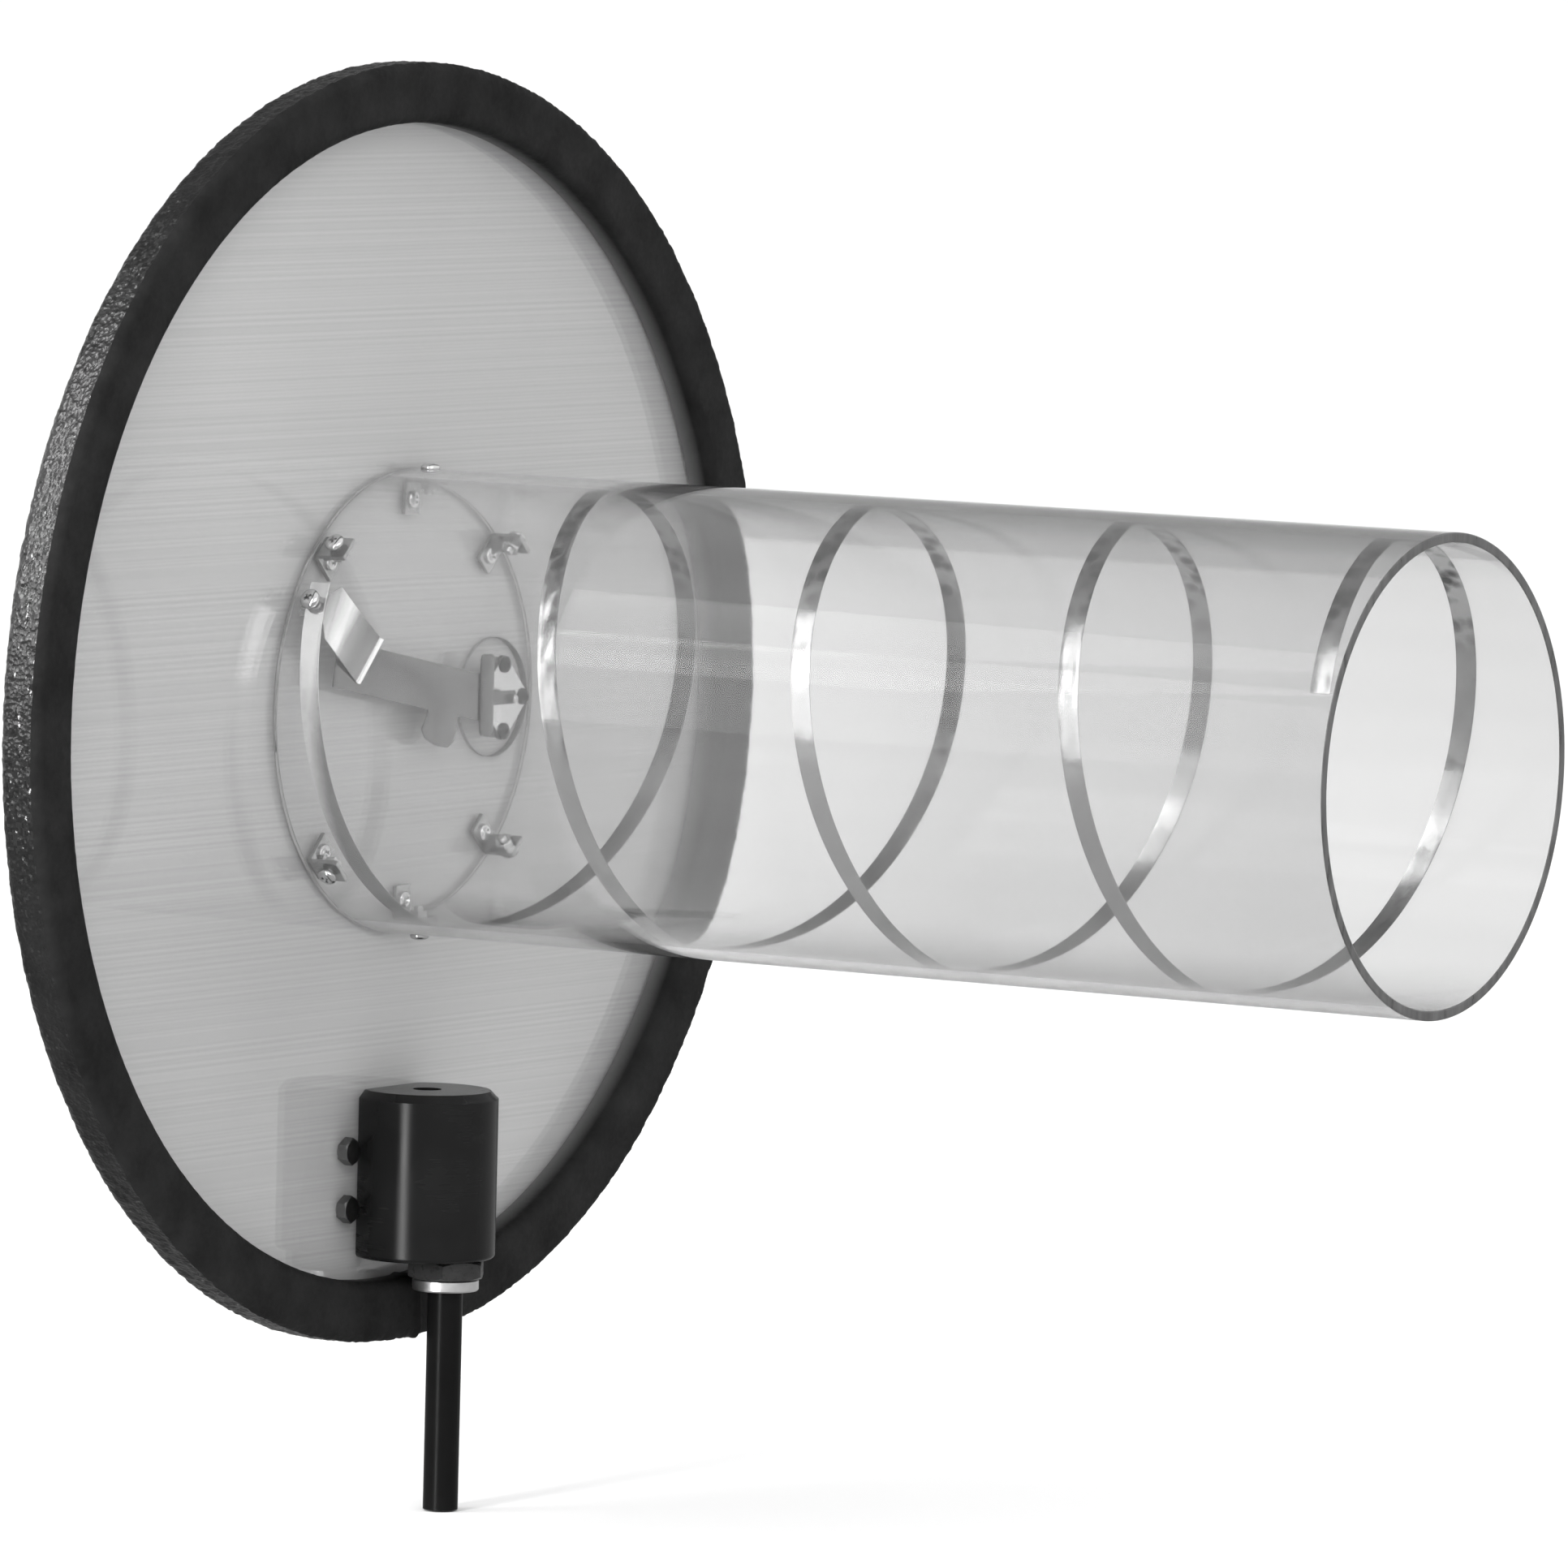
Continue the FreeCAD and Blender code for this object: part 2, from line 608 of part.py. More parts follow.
def thicken(line, t):
    # closed outline of a bent sheet: the centre-side line and its offset
    off = []
    n = len(line)
    for k in range(n):
        a = line[max(k - 1, 0)]
        b = line[min(k + 1, n - 1)]
        p = line[k]
        d1 = Vector(p[0] - a[0], p[1] - a[1], 0) if k > 0 else Vector(b[0] - p[0], b[1] - p[1], 0)
        d2 = Vector(b[0] - p[0], b[1] - p[1], 0) if k < n - 1 else d1
        d1.normalize()
        d2.normalize()
        n1, n2 = Vector(-d1.y, d1.x, 0), Vector(-d2.y, d2.x, 0)
        m = n1 + n2
        m.normalize()
        m = m * (t / max(m.dot(n1), 0.3))
        off.append((p[0] + m.x, p[1] + m.y))
    return line + off[::-1]


us = new_body("feed_strap_upper")
s = new_sketch(us, "upper_strap_section", "XY_Plane")
loop(s, thicken(profile[1:], st))
pad(us, s, "upper_strap_pad", D["strap_width"], "Dims.strap_width", symmetric=True)
s = new_sketch(us, "upper_strap_tab_section", "XY_Plane")
loop(s, [(tab_v, 2.6), (tab_v, 10.9 + 0.3), (tab_v + st, 10.9 + 0.3), (tab_v + st, 2.6)])
pad(us, s, "upper_strap_tab", 9.0, None, symmetric=True)
s = new_sketch(us, "upper_strap_hole", "YZ_Plane")
ring(s, h7, 0.0, D["small_hole_radius"], "Dims.small_hole_radius", "Dims.bracket_screw_height")
pocket(us, s, "upper_strap_hole_cut", 6.0, None, symmetric=True)
# local x runs inwards from the wall, local y along the tube, local z along the wall
fr = math.radians(fa)
inward = Vector(0, math.sin(fr), -math.cos(fr))
along = Vector(1, 0, 0)
side = inward.cross(along)
rot = Rotation(inward, along, side, "ZXY")
w_pt = Vector(0, -wall_r * math.sin(fr), wall_r * math.cos(fr))
us.Placement = ANT.multiply(Placement(w_pt, rot))
keep(us, "feed_strap_upper")

fn = doc.addObject("Part::Feature", "feed_nut")
fn.Shape = Part.makeCompound(moved(m_nut.Shape, radial(fa, wall_r - tab_v - st - D["small_nut_height"])).Solids)
fn.Placement = ANT
keep(fn, "feed_nut")

ls = new_body("feed_strap_lower")
s = new_sketch(ls, "lower_strap_outline", "YZ_Plane")
loop(s, [(-51.1, 7.1), (4.9, -2.9), (0.6, -9.2), (3.0, -12.4), (9.1, -15.0), (15.3, -16.0), (18.9, -14.4), (21.4, -9.4),
         (21.2, -5.8), (38.0, -8.8), (40.7, 6.4), (-48.4, 22.4)])
pad(ls, s, "lower_strap_pad", st, "Dims.strap_thick")
ls.setExpression("Placement.Base.x", "Dims.disc_front_x + Dims.lower_strap_x")
ls.setExpression("Placement.Base.y", "Dims.tube_axis_y")
ls.setExpression("Placement.Base.z", "Dims.tube_axis_z")
keep(ls, "feed_strap_lower")

ep = new_body("feed_end_plate")
s = new_sketch(ep, "end_plate_outline", "YZ_Plane")
py, pz, pw, ph = 37.6, 0.4, 3.8, 13.7
loop(s, [(py - pw, pz - ph + 2.2), (py - pw + 2.2, pz - ph), (py + pw - 2.2, pz - ph), (py + pw, pz - ph + 2.2),
         (py + pw, pz - 3.6), (D["connector_y"] + 2.2, pz - 3.6), (D["connector_y"] + 2.2, pz + 0.9), (py + pw, pz + 0.9),
         (py + pw, pz + ph - 2.2), (py + pw - 2.2, pz + ph), (py - pw + 2.2, pz + ph), (py - pw, pz + ph - 2.2)])
ring(s, D["connector_y"], D["connector_z"], 1.35, None, "Dims.connector_y", "Dims.connector_z")
pad(ep, s, "end_plate_pad", 0.6, None)
ep.setExpression("Placement.Base.x", "Dims.disc_front_x + Dims.end_plate_x")
ep.setExpression("Placement.Base.y", "Dims.tube_axis_y")
ep.setExpression("Placement.Base.z", "Dims.tube_axis_z")
keep(ep, "feed_end_plate")

# ----------------------------------------------------------------------------
# Coax connector: square flange turned to a diamond, stood off the ground
# plate on spacers, with its threaded barrel through the plate
# ----------------------------------------------------------------------------
cy, cz = D["connector_y"], D["connector_z"]
cb = new_body("connector_body")
s = new_sketch(cb, "connector_section", "XY_Plane")
fx, ft = D["flange_back_x"], D["flange_thick"]
bb, br, bo = D["barrel_back"], D["barrel_radius"], D["barrel_bore_radius"]
bt = D["barrel_thread_start"]
loop(s, [
    (fx + ft, 2.2), (fx + ft, br + 0.6), (fx, br + 0.6), (fx, br - 0.3, None, "Dims.barrel_radius - 0.3"),
    (-bt, br - 0.3, "-Dims.barrel_thread_start", "Dims.barrel_radius - 0.3"),
    (-bt - 0.4, br - 0.3, "-Dims.barrel_thread_start - 0.4", "Dims.barrel_radius - 0.3"),
    (-bt - 0.4, br, "-Dims.barrel_thread_start - 0.4", "Dims.barrel_radius"),
    (-bb + 1.0, br, "-Dims.barrel_back + 1.0", "Dims.barrel_radius"),
    (-bb, br - 1.1, "-Dims.barrel_back", None), (-bb, bo, "-Dims.barrel_back", "Dims.barrel_bore_radius"),
    (-6.0, bo, None, "Dims.barrel_bore_radius"), (-6.0, 2.2),
])
revolve(cb, s, "connector_turned", "H_Axis")
s = new_sketch(cb, "flange_outline", "YZ_Plane")
hd = D["flange_side"] / math.sqrt(2.0)
loop(s, [(hd, 0.0, "Dims.flange_side * 0.70710678", None), (0.0, hd, None, "Dims.flange_side * 0.70710678"),
         (-hd, 0.0, "-Dims.flange_side * 0.70710678", None), (0.0, -hd, None, "-Dims.flange_side * 0.70710678")])
ring(s, 0.0, 0.0, 5.0, None)
for k, (qy, qz) in enumerate(conn_points):
    ring(s, qy - cy, qz - cz, D["flange_screw_radius"], "Dims.flange_screw_radius")
s.AttachmentOffset = Placement(Vector(0, 0, fx), Rotation())
s.setExpression("AttachmentOffset.Base.z", "Dims.flange_back_x")
pad(cb, s, "flange_pad", ft, "Dims.flange_thick")
round_edges(cb, "flange_corners", 1.6, None,
            lambda e: e.BoundBox.YLength < 0.01 and e.BoundBox.ZLength < 0.01 and abs(e.BoundBox.XLength - ft) < 0.01
            and math.hypot(e.BoundBox.YMin, e.BoundBox.ZMin) > hd - 0.1)
antenna_place(cb, " + Dims.connector_y", " + Dims.connector_z")
keep(cb, "connector_body")

ci = new_body("connector_insulator")
s = new_sketch(ci, "insulator_section", "XY_Plane")
loop(s, [(-6.0, 1.35), (fx + ft + 0.5, 1.35), (fx + ft + 0.5, 2.15), (-6.0, 2.15)])
revolve(ci, s, "insulator_turned", "H_Axis")
antenna_place(ci, " + Dims.connector_y", " + Dims.connector_z")
keep(ci, "connector_insulator")

cp = new_body("connector_pin")
s = new_sketch(cp, "pin_section", "XY_Plane")
loop(s, [(-bb + 5.0, 0.0), (9.0, 0.0), (9.4, 0.5), (9.4, 0.9), (9.0, 1.3), (-6.0, 1.3), (-6.4, 1.0), (-bb + 6.2, 1.0), (-bb + 5.0, 0.5)])
revolve(cp, s, "pin_turned", "H_Axis")
antenna_place(cp, " + Dims.connector_y", " + Dims.connector_z")
keep(cp, "connector_pin")

# screw heads on the flange, spacers between flange and plate, nuts behind
group("connector_screws", [moved(m_flange.Shape, axial(y, z, fx + ft)) for (y, z) in conn_points], ANT)
sp = new_body("spacer_master")
s = new_sketch(sp, "spacer_outline", "XY_Plane")
ring(s, 0.0, 0.0, D["spacer_radius"], "Dims.spacer_radius")
ring(s, 0.0, 0.0, D["flange_screw_radius"], "Dims.flange_screw_radius")
pad(sp, s, "spacer_pad", fx + D["front_sheet_thick"], "Dims.flange_back_x + Dims.front_sheet_thick")
sp.Visibility = False
group("connector_spacers", [moved(sp.Shape, axial(y, z, -D["front_sheet_thick"])) for (y, z) in conn_points], ANT)
group("connector_nuts", [moved(m_nut_c.Shape, axial(y, z, -plate_back - 1.9)) for (y, z) in conn_points], ANT)

# ----------------------------------------------------------------------------
# Stand block: a turned cylinder with a flat milled for the disc, a threaded
# hole in its top and the stud hole in its underside, forward of its axis
# ----------------------------------------------------------------------------
blk = new_body("stand_block")
s = new_sketch(blk, "block_outline", "XY_Plane")
ring(s, 0.0, 0.0, D["block_radius"], "Dims.block_radius")
pad(blk, s, "block_pad", D["block_height"], "Dims.block_height")
round_edges(blk, "block_chamfer", D["block_top_chamfer"], "Dims.block_top_chamfer",
            lambda e: is_circle(e, D["block_radius"]) and e.Curve.Center.z > 1.0, "PartDesign::Chamfer")
round_edges(blk, "block_round", D["block_bottom_round"], "Dims.block_bottom_round",
            lambda e: is_circle(e, D["block_radius"]) and e.Curve.Center.z < 1.0)
s = new_sketch(blk, "block_flat", "XY_Plane")
flat = D["disc_front_x"] - D["block_axis_x"]
loop(s, [(-30.0, -30.0), (flat, -30.0, "Dims.disc_front_x - Dims.block_axis_x", None),
         (flat, 30.0, "Dims.disc_front_x - Dims.block_axis_x", None), (-30.0, 30.0)])
pocket(blk, s, "block_flat_cut", D["block_height"] + 2, "Dims.block_height + 2", reverse=True)
s = new_sketch(blk, "block_stud_hole", "XY_Plane")
ring(s, -D["block_axis_x"], 0.0, D["stud_hole_radius"], "Dims.stud_hole_radius", "-Dims.block_axis_x")
pocket(blk, s, "block_stud_hole_cut", D["stud_hole_depth"], "Dims.stud_hole_depth", reverse=True)
s = new_sketch(blk, "block_top_hole", "XY_Plane")
ring(s, 0.0, 0.0, D["top_hole_radius"], "Dims.top_hole_radius")
s.AttachmentOffset = Placement(Vector(0, 0, D["block_height"] - D["top_hole_depth"]), Rotation())
s.setExpression("AttachmentOffset.Base.z", "Dims.block_height - Dims.top_hole_depth")
pocket(blk, s, "block_top_hole_cut", D["top_hole_depth"] + 1, "Dims.top_hole_depth + 1", reverse=True)
s = new_sketch(blk, "block_bolt_holes", "YZ_Plane")
for z, e in ((D["block_bolt_low_z"], "Dims.block_bolt_low_z"), (D["block_bolt_high_z"], "Dims.block_bolt_high_z")):
    ring(s, 0.0, z - D["block_bottom_z"], D["block_bolt_radius"] + 0.05, "Dims.block_bolt_radius + 0.05", None, e + " - Dims.block_bottom_z")
s.AttachmentOffset = Placement(Vector(0, 0, flat - 1), Rotation())
s.setExpression("AttachmentOffset.Base.z", "Dims.disc_front_x - Dims.block_axis_x - 1")
pocket(blk, s, "block_bolt_holes_cut", D["block_bolt_depth"] + 1, "Dims.block_bolt_depth + 1", reverse=True)
blk.setExpression("Placement.Base.x", "Dims.block_axis_x")
blk.setExpression("Placement.Base.z", "Dims.block_bottom_z")
keep(blk, "stand_block")

# backing plate behind the disc
bp = new_body("backing_plate")
s = new_sketch(bp, "backing_outline", "YZ_Plane")
bw, bh = D["backing_width"] / 2.0, D["backing_height"]
loop(s, [(-bw, 0.0, "-Dims.backing_width / 2", None), (bw, 0.0, "Dims.backing_width / 2", None),
         (bw, bh, "Dims.backing_width / 2", "Dims.backing_height"), (-bw, bh, "-Dims.backing_width / 2", "Dims.backing_height")])
zl = D["backing_low_z"]
for sy in (-1, 1):
    for z, e in ((D["hex_bolt_low_z"], "Dims.hex_bolt_low_z"), (D["hex_bolt_high_z"], "Dims.hex_bolt_high_z")):
        ring(s, sy * bolt_y, z - zl, D["hex_bolt_radius"] + 0.1, "Dims.hex_bolt_radius + 0.1",
             ("-" if sy < 0 else "") + "Dims.hex_bolt_y", e + " - Dims.backing_low_z")
for z, e in ((D["block_bolt_low_z"], "Dims.block_bolt_low_z"), (D["block_bolt_high_z"], "Dims.block_bolt_high_z")):
    ring(s, 0.0, z - zl, D["block_bolt_radius"] + 0.15, "Dims.block_bolt_radius + 0.15", None, e + " - Dims.backing_low_z")
pad(bp, s, "backing_pad", D["backing_thick"], "Dims.backing_thick", reverse=True)
round_edges(bp, "backing_corners", 5.0, None,
            lambda e: e.BoundBox.YLength < 0.01 and e.BoundBox.ZLength < 0.01 and abs(abs(e.BoundBox.YMin) - bw) < 0.01)
bp.setExpression("Placement.Base.x", "Dims.disc_front_x - Dims.front_sheet_thick - Dims.ground_plate_thick")
bp.setExpression("Placement.Base.z", "Dims.backing_low_z")
keep(bp, "backing_plate")


def hex_bolt(name, flats, flats_e, head_h, head_he, shank_r, shank_e, length):
    # head above z = 0, shank below
    b = new_body(name)
    s = new_sketch(b, name + "_head", "XY_Plane")
    c = flats / math.sqrt(3.0)
    pts = []
    for k in range(6):
        a = math.radians(60.0 * k)
        pts.append((c * math.cos(a), c * math.sin(a),
                    "%s * %.8f" % (flats_e, math.cos(a) / math.sqrt(3.0)),
                    "%s * %.8f" % (flats_e, math.sin(a) / math.sqrt(3.0))))
    loop(s, pts)
    pad(b, s, name + "_head_pad", head_h, head_he)
    s = new_sketch(b, name + "_bevel", "XZ_Plane")
    f, o = flats / 2.0 * 0.97, c + 1.0
    d = (o - f) * math.tan(math.radians(30.0))
    loop(s, [(f, head_h), (o, head_h - d), (o, head_h)])
    g = b.newObject("PartDesign::Groove", name + "_bevels")
    g.Profile = s
    g.ReferenceAxis = (s, ["V_Axis"])
    g.Angle = 360.0
    doc.recompute()
    s = new_sketch(b, name + "_shank", "XY_Plane")
    ring(s, 0.0, 0.0, shank_r, shank_e)
    pad(b, s, name + "_shank_pad", length, None, reverse=True)
    b.Visibility = False
    return b


m_hex = hex_bolt("hex_bolt_master", D["hex_bolt_flats"], "Dims.hex_bolt_flats", D["hex_head_height"], "Dims.hex_head_height",
                 D["hex_bolt_radius"], "Dims.hex_bolt_radius", 12.5)
m_blk = hex_bolt("block_bolt_master", 10.0, "10", 4.0, "4", D["block_bolt_radius"], "Dims.block_bolt_radius",
                 plate_back + D["backing_thick"] + 10.0)
back_x = -plate_back - D["backing_thick"]
group("hex_bolts", [moved(m_hex.Shape, axial(y, z, 0.0)) for (y, z) in hex_points], ANT)
group("hex_bolt_nuts", [moved(m_nut_h.Shape, axial(y, z, back_x - 3.9)) for (y, z) in hex_points], ANT)
faceBack = Rotation(Vector(0, 1, 0), -90)
group("block_bolts", [moved(m_blk.Shape, Placement(Vector(back_x, y, z), faceBack)) for (y, z) in block_points], ANT)

# ----------------------------------------------------------------------------
# Lock nut, stand stud with its flange, and the rod
# ----------------------------------------------------------------------------
ln = hex_nut("lock_nut", D["lock_nut_flats"], "Dims.lock_nut_flats", D["lock_nut_height"], "Dims.lock_nut_height",
             D["stud_hole_radius"], "Dims.stud_hole_radius")
ln.setExpression("Placement.Base.z", "Dims.lock_nut_bottom_z")
keep(ln, "lock_nut")

sd = new_body("stand_stud")
s = new_sketch(sd, "stud_section", "XZ_Plane")
sr, fl = D["stud_radius"], D["flange_radius"]
z0, z1, z2 = D["flange_low_z"], D["flange_high_z"], D["stud_top_z"]
ri = D["rod_radius"] - D["rod_wall"] - 0.02
loop(s, [(0.0, z0 - 16.0), (ri, z0 - 16.0), (ri, z0, None, "Dims.flange_low_z"), (fl - 0.5, z0, "Dims.flange_radius - 0.5", "Dims.flange_low_z"),
         (fl, z0 + 0.5, "Dims.flange_radius", "Dims.flange_low_z + 0.5"), (fl, z1 - 0.5, "Dims.flange_radius", "Dims.flange_high_z - 0.5"),
         (fl - 0.5, z1, "Dims.flange_radius - 0.5", "Dims.flange_high_z"), (sr, z1, "Dims.stud_radius", "Dims.flange_high_z"),
         (sr, z2 - 1.2, "Dims.stud_radius", "Dims.stud_top_z - 1.2"), (sr - 1.2, z2, "Dims.stud_radius - 1.2", "Dims.stud_top_z"),
         (0.0, z2, None, "Dims.stud_top_z")])
revolve(sd, s, "stud_turned", "V_Axis")
keep(sd, "stand_stud")

rod = new_body("stand_rod")
s = new_sketch(rod, "rod_section", "XY_Plane")
ring(s, 0.0, 0.0, D["rod_radius"], "Dims.rod_radius")
ring(s, 0.0, 0.0, D["rod_radius"] - D["rod_wall"], "Dims.rod_radius - Dims.rod_wall")
pad(rod, s, "rod_pad", D["rod_length"], "Dims.rod_length")
keep(rod, "stand_rod")

# ----------------------------------------------------------------------------
# Check and write
# ----------------------------------------------------------------------------
doc.recompute()
bad = [o.Name for o in doc.Objects if "Invalid" in o.State or "Error" in o.State]
if bad:
    raise RuntimeError("failed objects: %s" % ", ".join(bad))
for obj in nodes:
    sh = obj.Shape
    if sh.isNull() or not sh.isValid() or not sh.Solids or sh.Volume <= 0:
        raise RuntimeError("bad shape: %s" % obj.Label)
for obj in nodes:
    obj.Shape.exportStep("parts/%s.step" % obj.Label)
    bb = obj.Shape.BoundBox
    print("%-22s solids %d volume %.1f  x %.1f..%.1f y %.1f..%.1f z %.1f..%.1f" % (
        obj.Label, len(obj.Shape.Solids), obj.Shape.Volume, bb.XMin, bb.XMax, bb.YMin, bb.YMax, bb.ZMin, bb.ZMax))
print("nodes: %d" % len(nodes))
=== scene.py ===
# Helical antenna: clear tube with a metal strip wound inside it, on a round
# ground disc with a foam edge trim, on a stand block and rod.
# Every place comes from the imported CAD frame. Lengths below are in
# millimetres in the antenna's own frame (x along the boresight from the disc's
# front plane, y and z across it from the tube's axis) unless a comment says
# otherwise, and are scaled to metres as the meshes are made.
import bpy
import bmesh
import math
from mathutils import Matrix, Vector, noise


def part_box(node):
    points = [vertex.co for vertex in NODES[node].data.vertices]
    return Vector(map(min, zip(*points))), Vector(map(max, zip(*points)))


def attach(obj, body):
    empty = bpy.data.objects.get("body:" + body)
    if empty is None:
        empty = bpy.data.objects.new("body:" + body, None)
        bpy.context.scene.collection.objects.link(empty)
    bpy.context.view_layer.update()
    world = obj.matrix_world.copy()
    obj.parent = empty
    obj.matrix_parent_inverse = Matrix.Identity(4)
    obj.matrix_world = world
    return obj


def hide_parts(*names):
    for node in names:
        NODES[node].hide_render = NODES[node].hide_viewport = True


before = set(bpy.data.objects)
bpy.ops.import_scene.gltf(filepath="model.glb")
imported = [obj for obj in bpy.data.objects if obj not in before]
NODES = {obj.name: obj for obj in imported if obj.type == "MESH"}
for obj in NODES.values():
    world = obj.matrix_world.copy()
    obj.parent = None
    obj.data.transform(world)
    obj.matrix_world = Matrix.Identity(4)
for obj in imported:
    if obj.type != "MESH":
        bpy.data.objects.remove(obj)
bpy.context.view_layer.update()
SC = bpy.context.scene
MM = 0.001

t_lo, t_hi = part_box("antenna_tube")
AX = t_lo.x                              # disc's front plane
AY = (t_lo.y + t_hi.y) / 2.0             # tube's axis
AZ = (t_lo.z + t_hi.z) / 2.0
TUBE_L = (t_hi.x - t_lo.x) / MM
TUBE_R = (t_hi.z - t_lo.z) / 2.0 / MM
f_lo, f_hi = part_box("foam_edge_trim")
DISC_Y = ((f_lo.y + f_hi.y) / 2.0 - AY) / MM
TRIM_R = (f_hi.z - f_lo.z) / 2.0 / MM
TRIM_F = (f_hi.x - AX) / MM
TRIM_B = (f_lo.x - AX) / MM
b_lo, b_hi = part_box("stand_block")

ANT = Matrix.Translation((AX, AY, AZ)) @ Matrix.Scale(MM, 4)   # antenna frame, mm
ROW = Matrix.Scale(MM, 4)                                       # row frame, mm


# ----------------------------------------------------------------------------
# Mesh helpers
# ----------------------------------------------------------------------------
def make(name, verts, faces, matrix, mats, face_mat=None, smooth=True, sharp=35.0):
    me = bpy.data.meshes.new(name)
    me.from_pydata([matrix @ Vector(v) for v in verts], [], faces)
    for m in mats:
        me.materials.append(m)
    if face_mat is not None:
        me.polygons.foreach_set("material_index", face_mat)
    bm = bmesh.new()
    bm.from_mesh(me)
    bmesh.ops.recalc_face_normals(bm, faces=bm.faces)
    bm.to_mesh(me)
    bm.free()
    if smooth:
        me.shade_smooth()
        me.set_sharp_from_angle(angle=math.radians(sharp))
    me.update()
    ob = bpy.data.objects.new(name, me)
    SC.collection.objects.link(ob)
    return ob


def lathe(prof, segs, ring=False):
    # turned round z: prof is (radius, z); radius 0 makes a pole
    verts, rows = [], []
    for (r, z) in prof:
        if abs(r) < 1e-9:
            rows.append([len(verts)])
            verts.append((0.0, 0.0, z))
        else:
            row = []
            for k in range(segs):
                a = 2 * math.pi * k / segs
                row.append(len(verts))
                verts.append((r * math.cos(a), r * math.sin(a), z))
            rows.append(row)
    faces = []
    n = len(prof)
    tags = []
    for i in range(n if ring else n - 1):
        A, B = rows[i], rows[(i + 1) % n]
        for k in range(segs):
            k2 = (k + 1) % segs
            if len(A) == 1 and len(B) == 1:
                continue
            if len(A) == 1:
                faces.append((A[0], B[k], B[k2]))
            elif len(B) == 1:
                faces.append((A[k], B[0], A[k2]))
            else:
                faces.append((A[k], B[k], B[k2], A[k2]))
            tags.append(i)
    return verts, faces, tags


def join_parts(parts):
    verts, faces = [], []
    for (v, f, m) in parts:
        base = len(verts)
        verts.extend([tuple(m @ Vector(p)) for p in v])
        faces.extend([tuple(base + i for i in q) for q in f])
    return verts, faces


def arc(cx, cz, r, a0, a1, n):
    return [(cx + r * math.cos(math.radians(a0 + (a1 - a0) * k / n)),
             cz + r * math.sin(math.radians(a0 + (a1 - a0) * k / n))) for k in range(n + 1)]


def about_x(angle):
    return Matrix.Rotation(math.radians(angle), 4, "X")


def circle(cx, cy, r, n):
    return [(cx + r * math.cos(2 * math.pi * k / n), cy + r * math.sin(2 * math.pi * k / n)) for k in range(n)]


def rounded(pts, radii, n=5):
    # closed outline with each corner rounded by its radius
    out = []
    m = len(pts)
    for i in range(m):
        p0, p, p1 = Vector(pts[i - 1]), Vector(pts[i]), Vector(pts[(i + 1) % m])
        r = radii[i] if isinstance(radii, (list, tuple)) else radii
        a, b = (p0 - p), (p1 - p)
        la, lb = a.length, b.length
        a.normalize()
        b.normalize()
        ang = a.angle(b)
        if r <= 0 or ang > math.radians(172):
            out.append(tuple(p))
            continue
        d = min(r / math.tan(ang / 2), la * 0.49, lb * 0.49)
        s, e = p + a * d, p + b * d
        for k in range(n + 1):
            u = k / n
            q = s * (1 - u) ** 2 + p * 2 * u * (1 - u) + e * u * u
            out.append(tuple(q))
    return out


def sheet_mesh(outline, holes, z0, z1, bevel=0.0):
    # flat sheet with round or shaped holes, its rims slightly broken by bevel
    bm = bmesh.new()
    loops = []
    for lp in [outline] + holes:
        vs = [bm.verts.new((x, y, z0)) for (x, y) in lp]
        es = [bm.edges.new((vs[i], vs[(i + 1) % len(vs)])) for i in range(len(vs))]
        loops.append(es)
    bmesh.ops.triangle_fill(bm, use_beauty=True, use_dissolve=False, edges=[e for es in loops for e in es], normal=(0, 0, 1))
    geo = bmesh.ops.extrude_face_region(bm, geom=list(bm.faces))
    top = [v for v in geo["geom"] if isinstance(v, bmesh.types.BMVert)]
    bmesh.ops.translate(bm, verts=top, vec=(0, 0, z1 - z0))
    bmesh.ops.recalc_face_normals(bm, faces=bm.faces)
    if bevel > 0:
        rim = [e for e in bm.edges if len(e.link_faces) == 2 and e.calc_face_angle(0) > math.radians(60)
               and abs(e.verts[0].co.z - e.verts[1].co.z) < 1e-6]
        bmesh.ops.bevel(bm, geom=rim, offset=bevel, segments=2, profile=0.5, affect="EDGES", clamp_overlap=True)
    bm.verts.index_update()
    verts = [tuple(v.co) for v in bm.verts]
    faces = [tuple(v.index for v in f.verts) for f in bm.faces]
    bm.free()
    return verts, faces


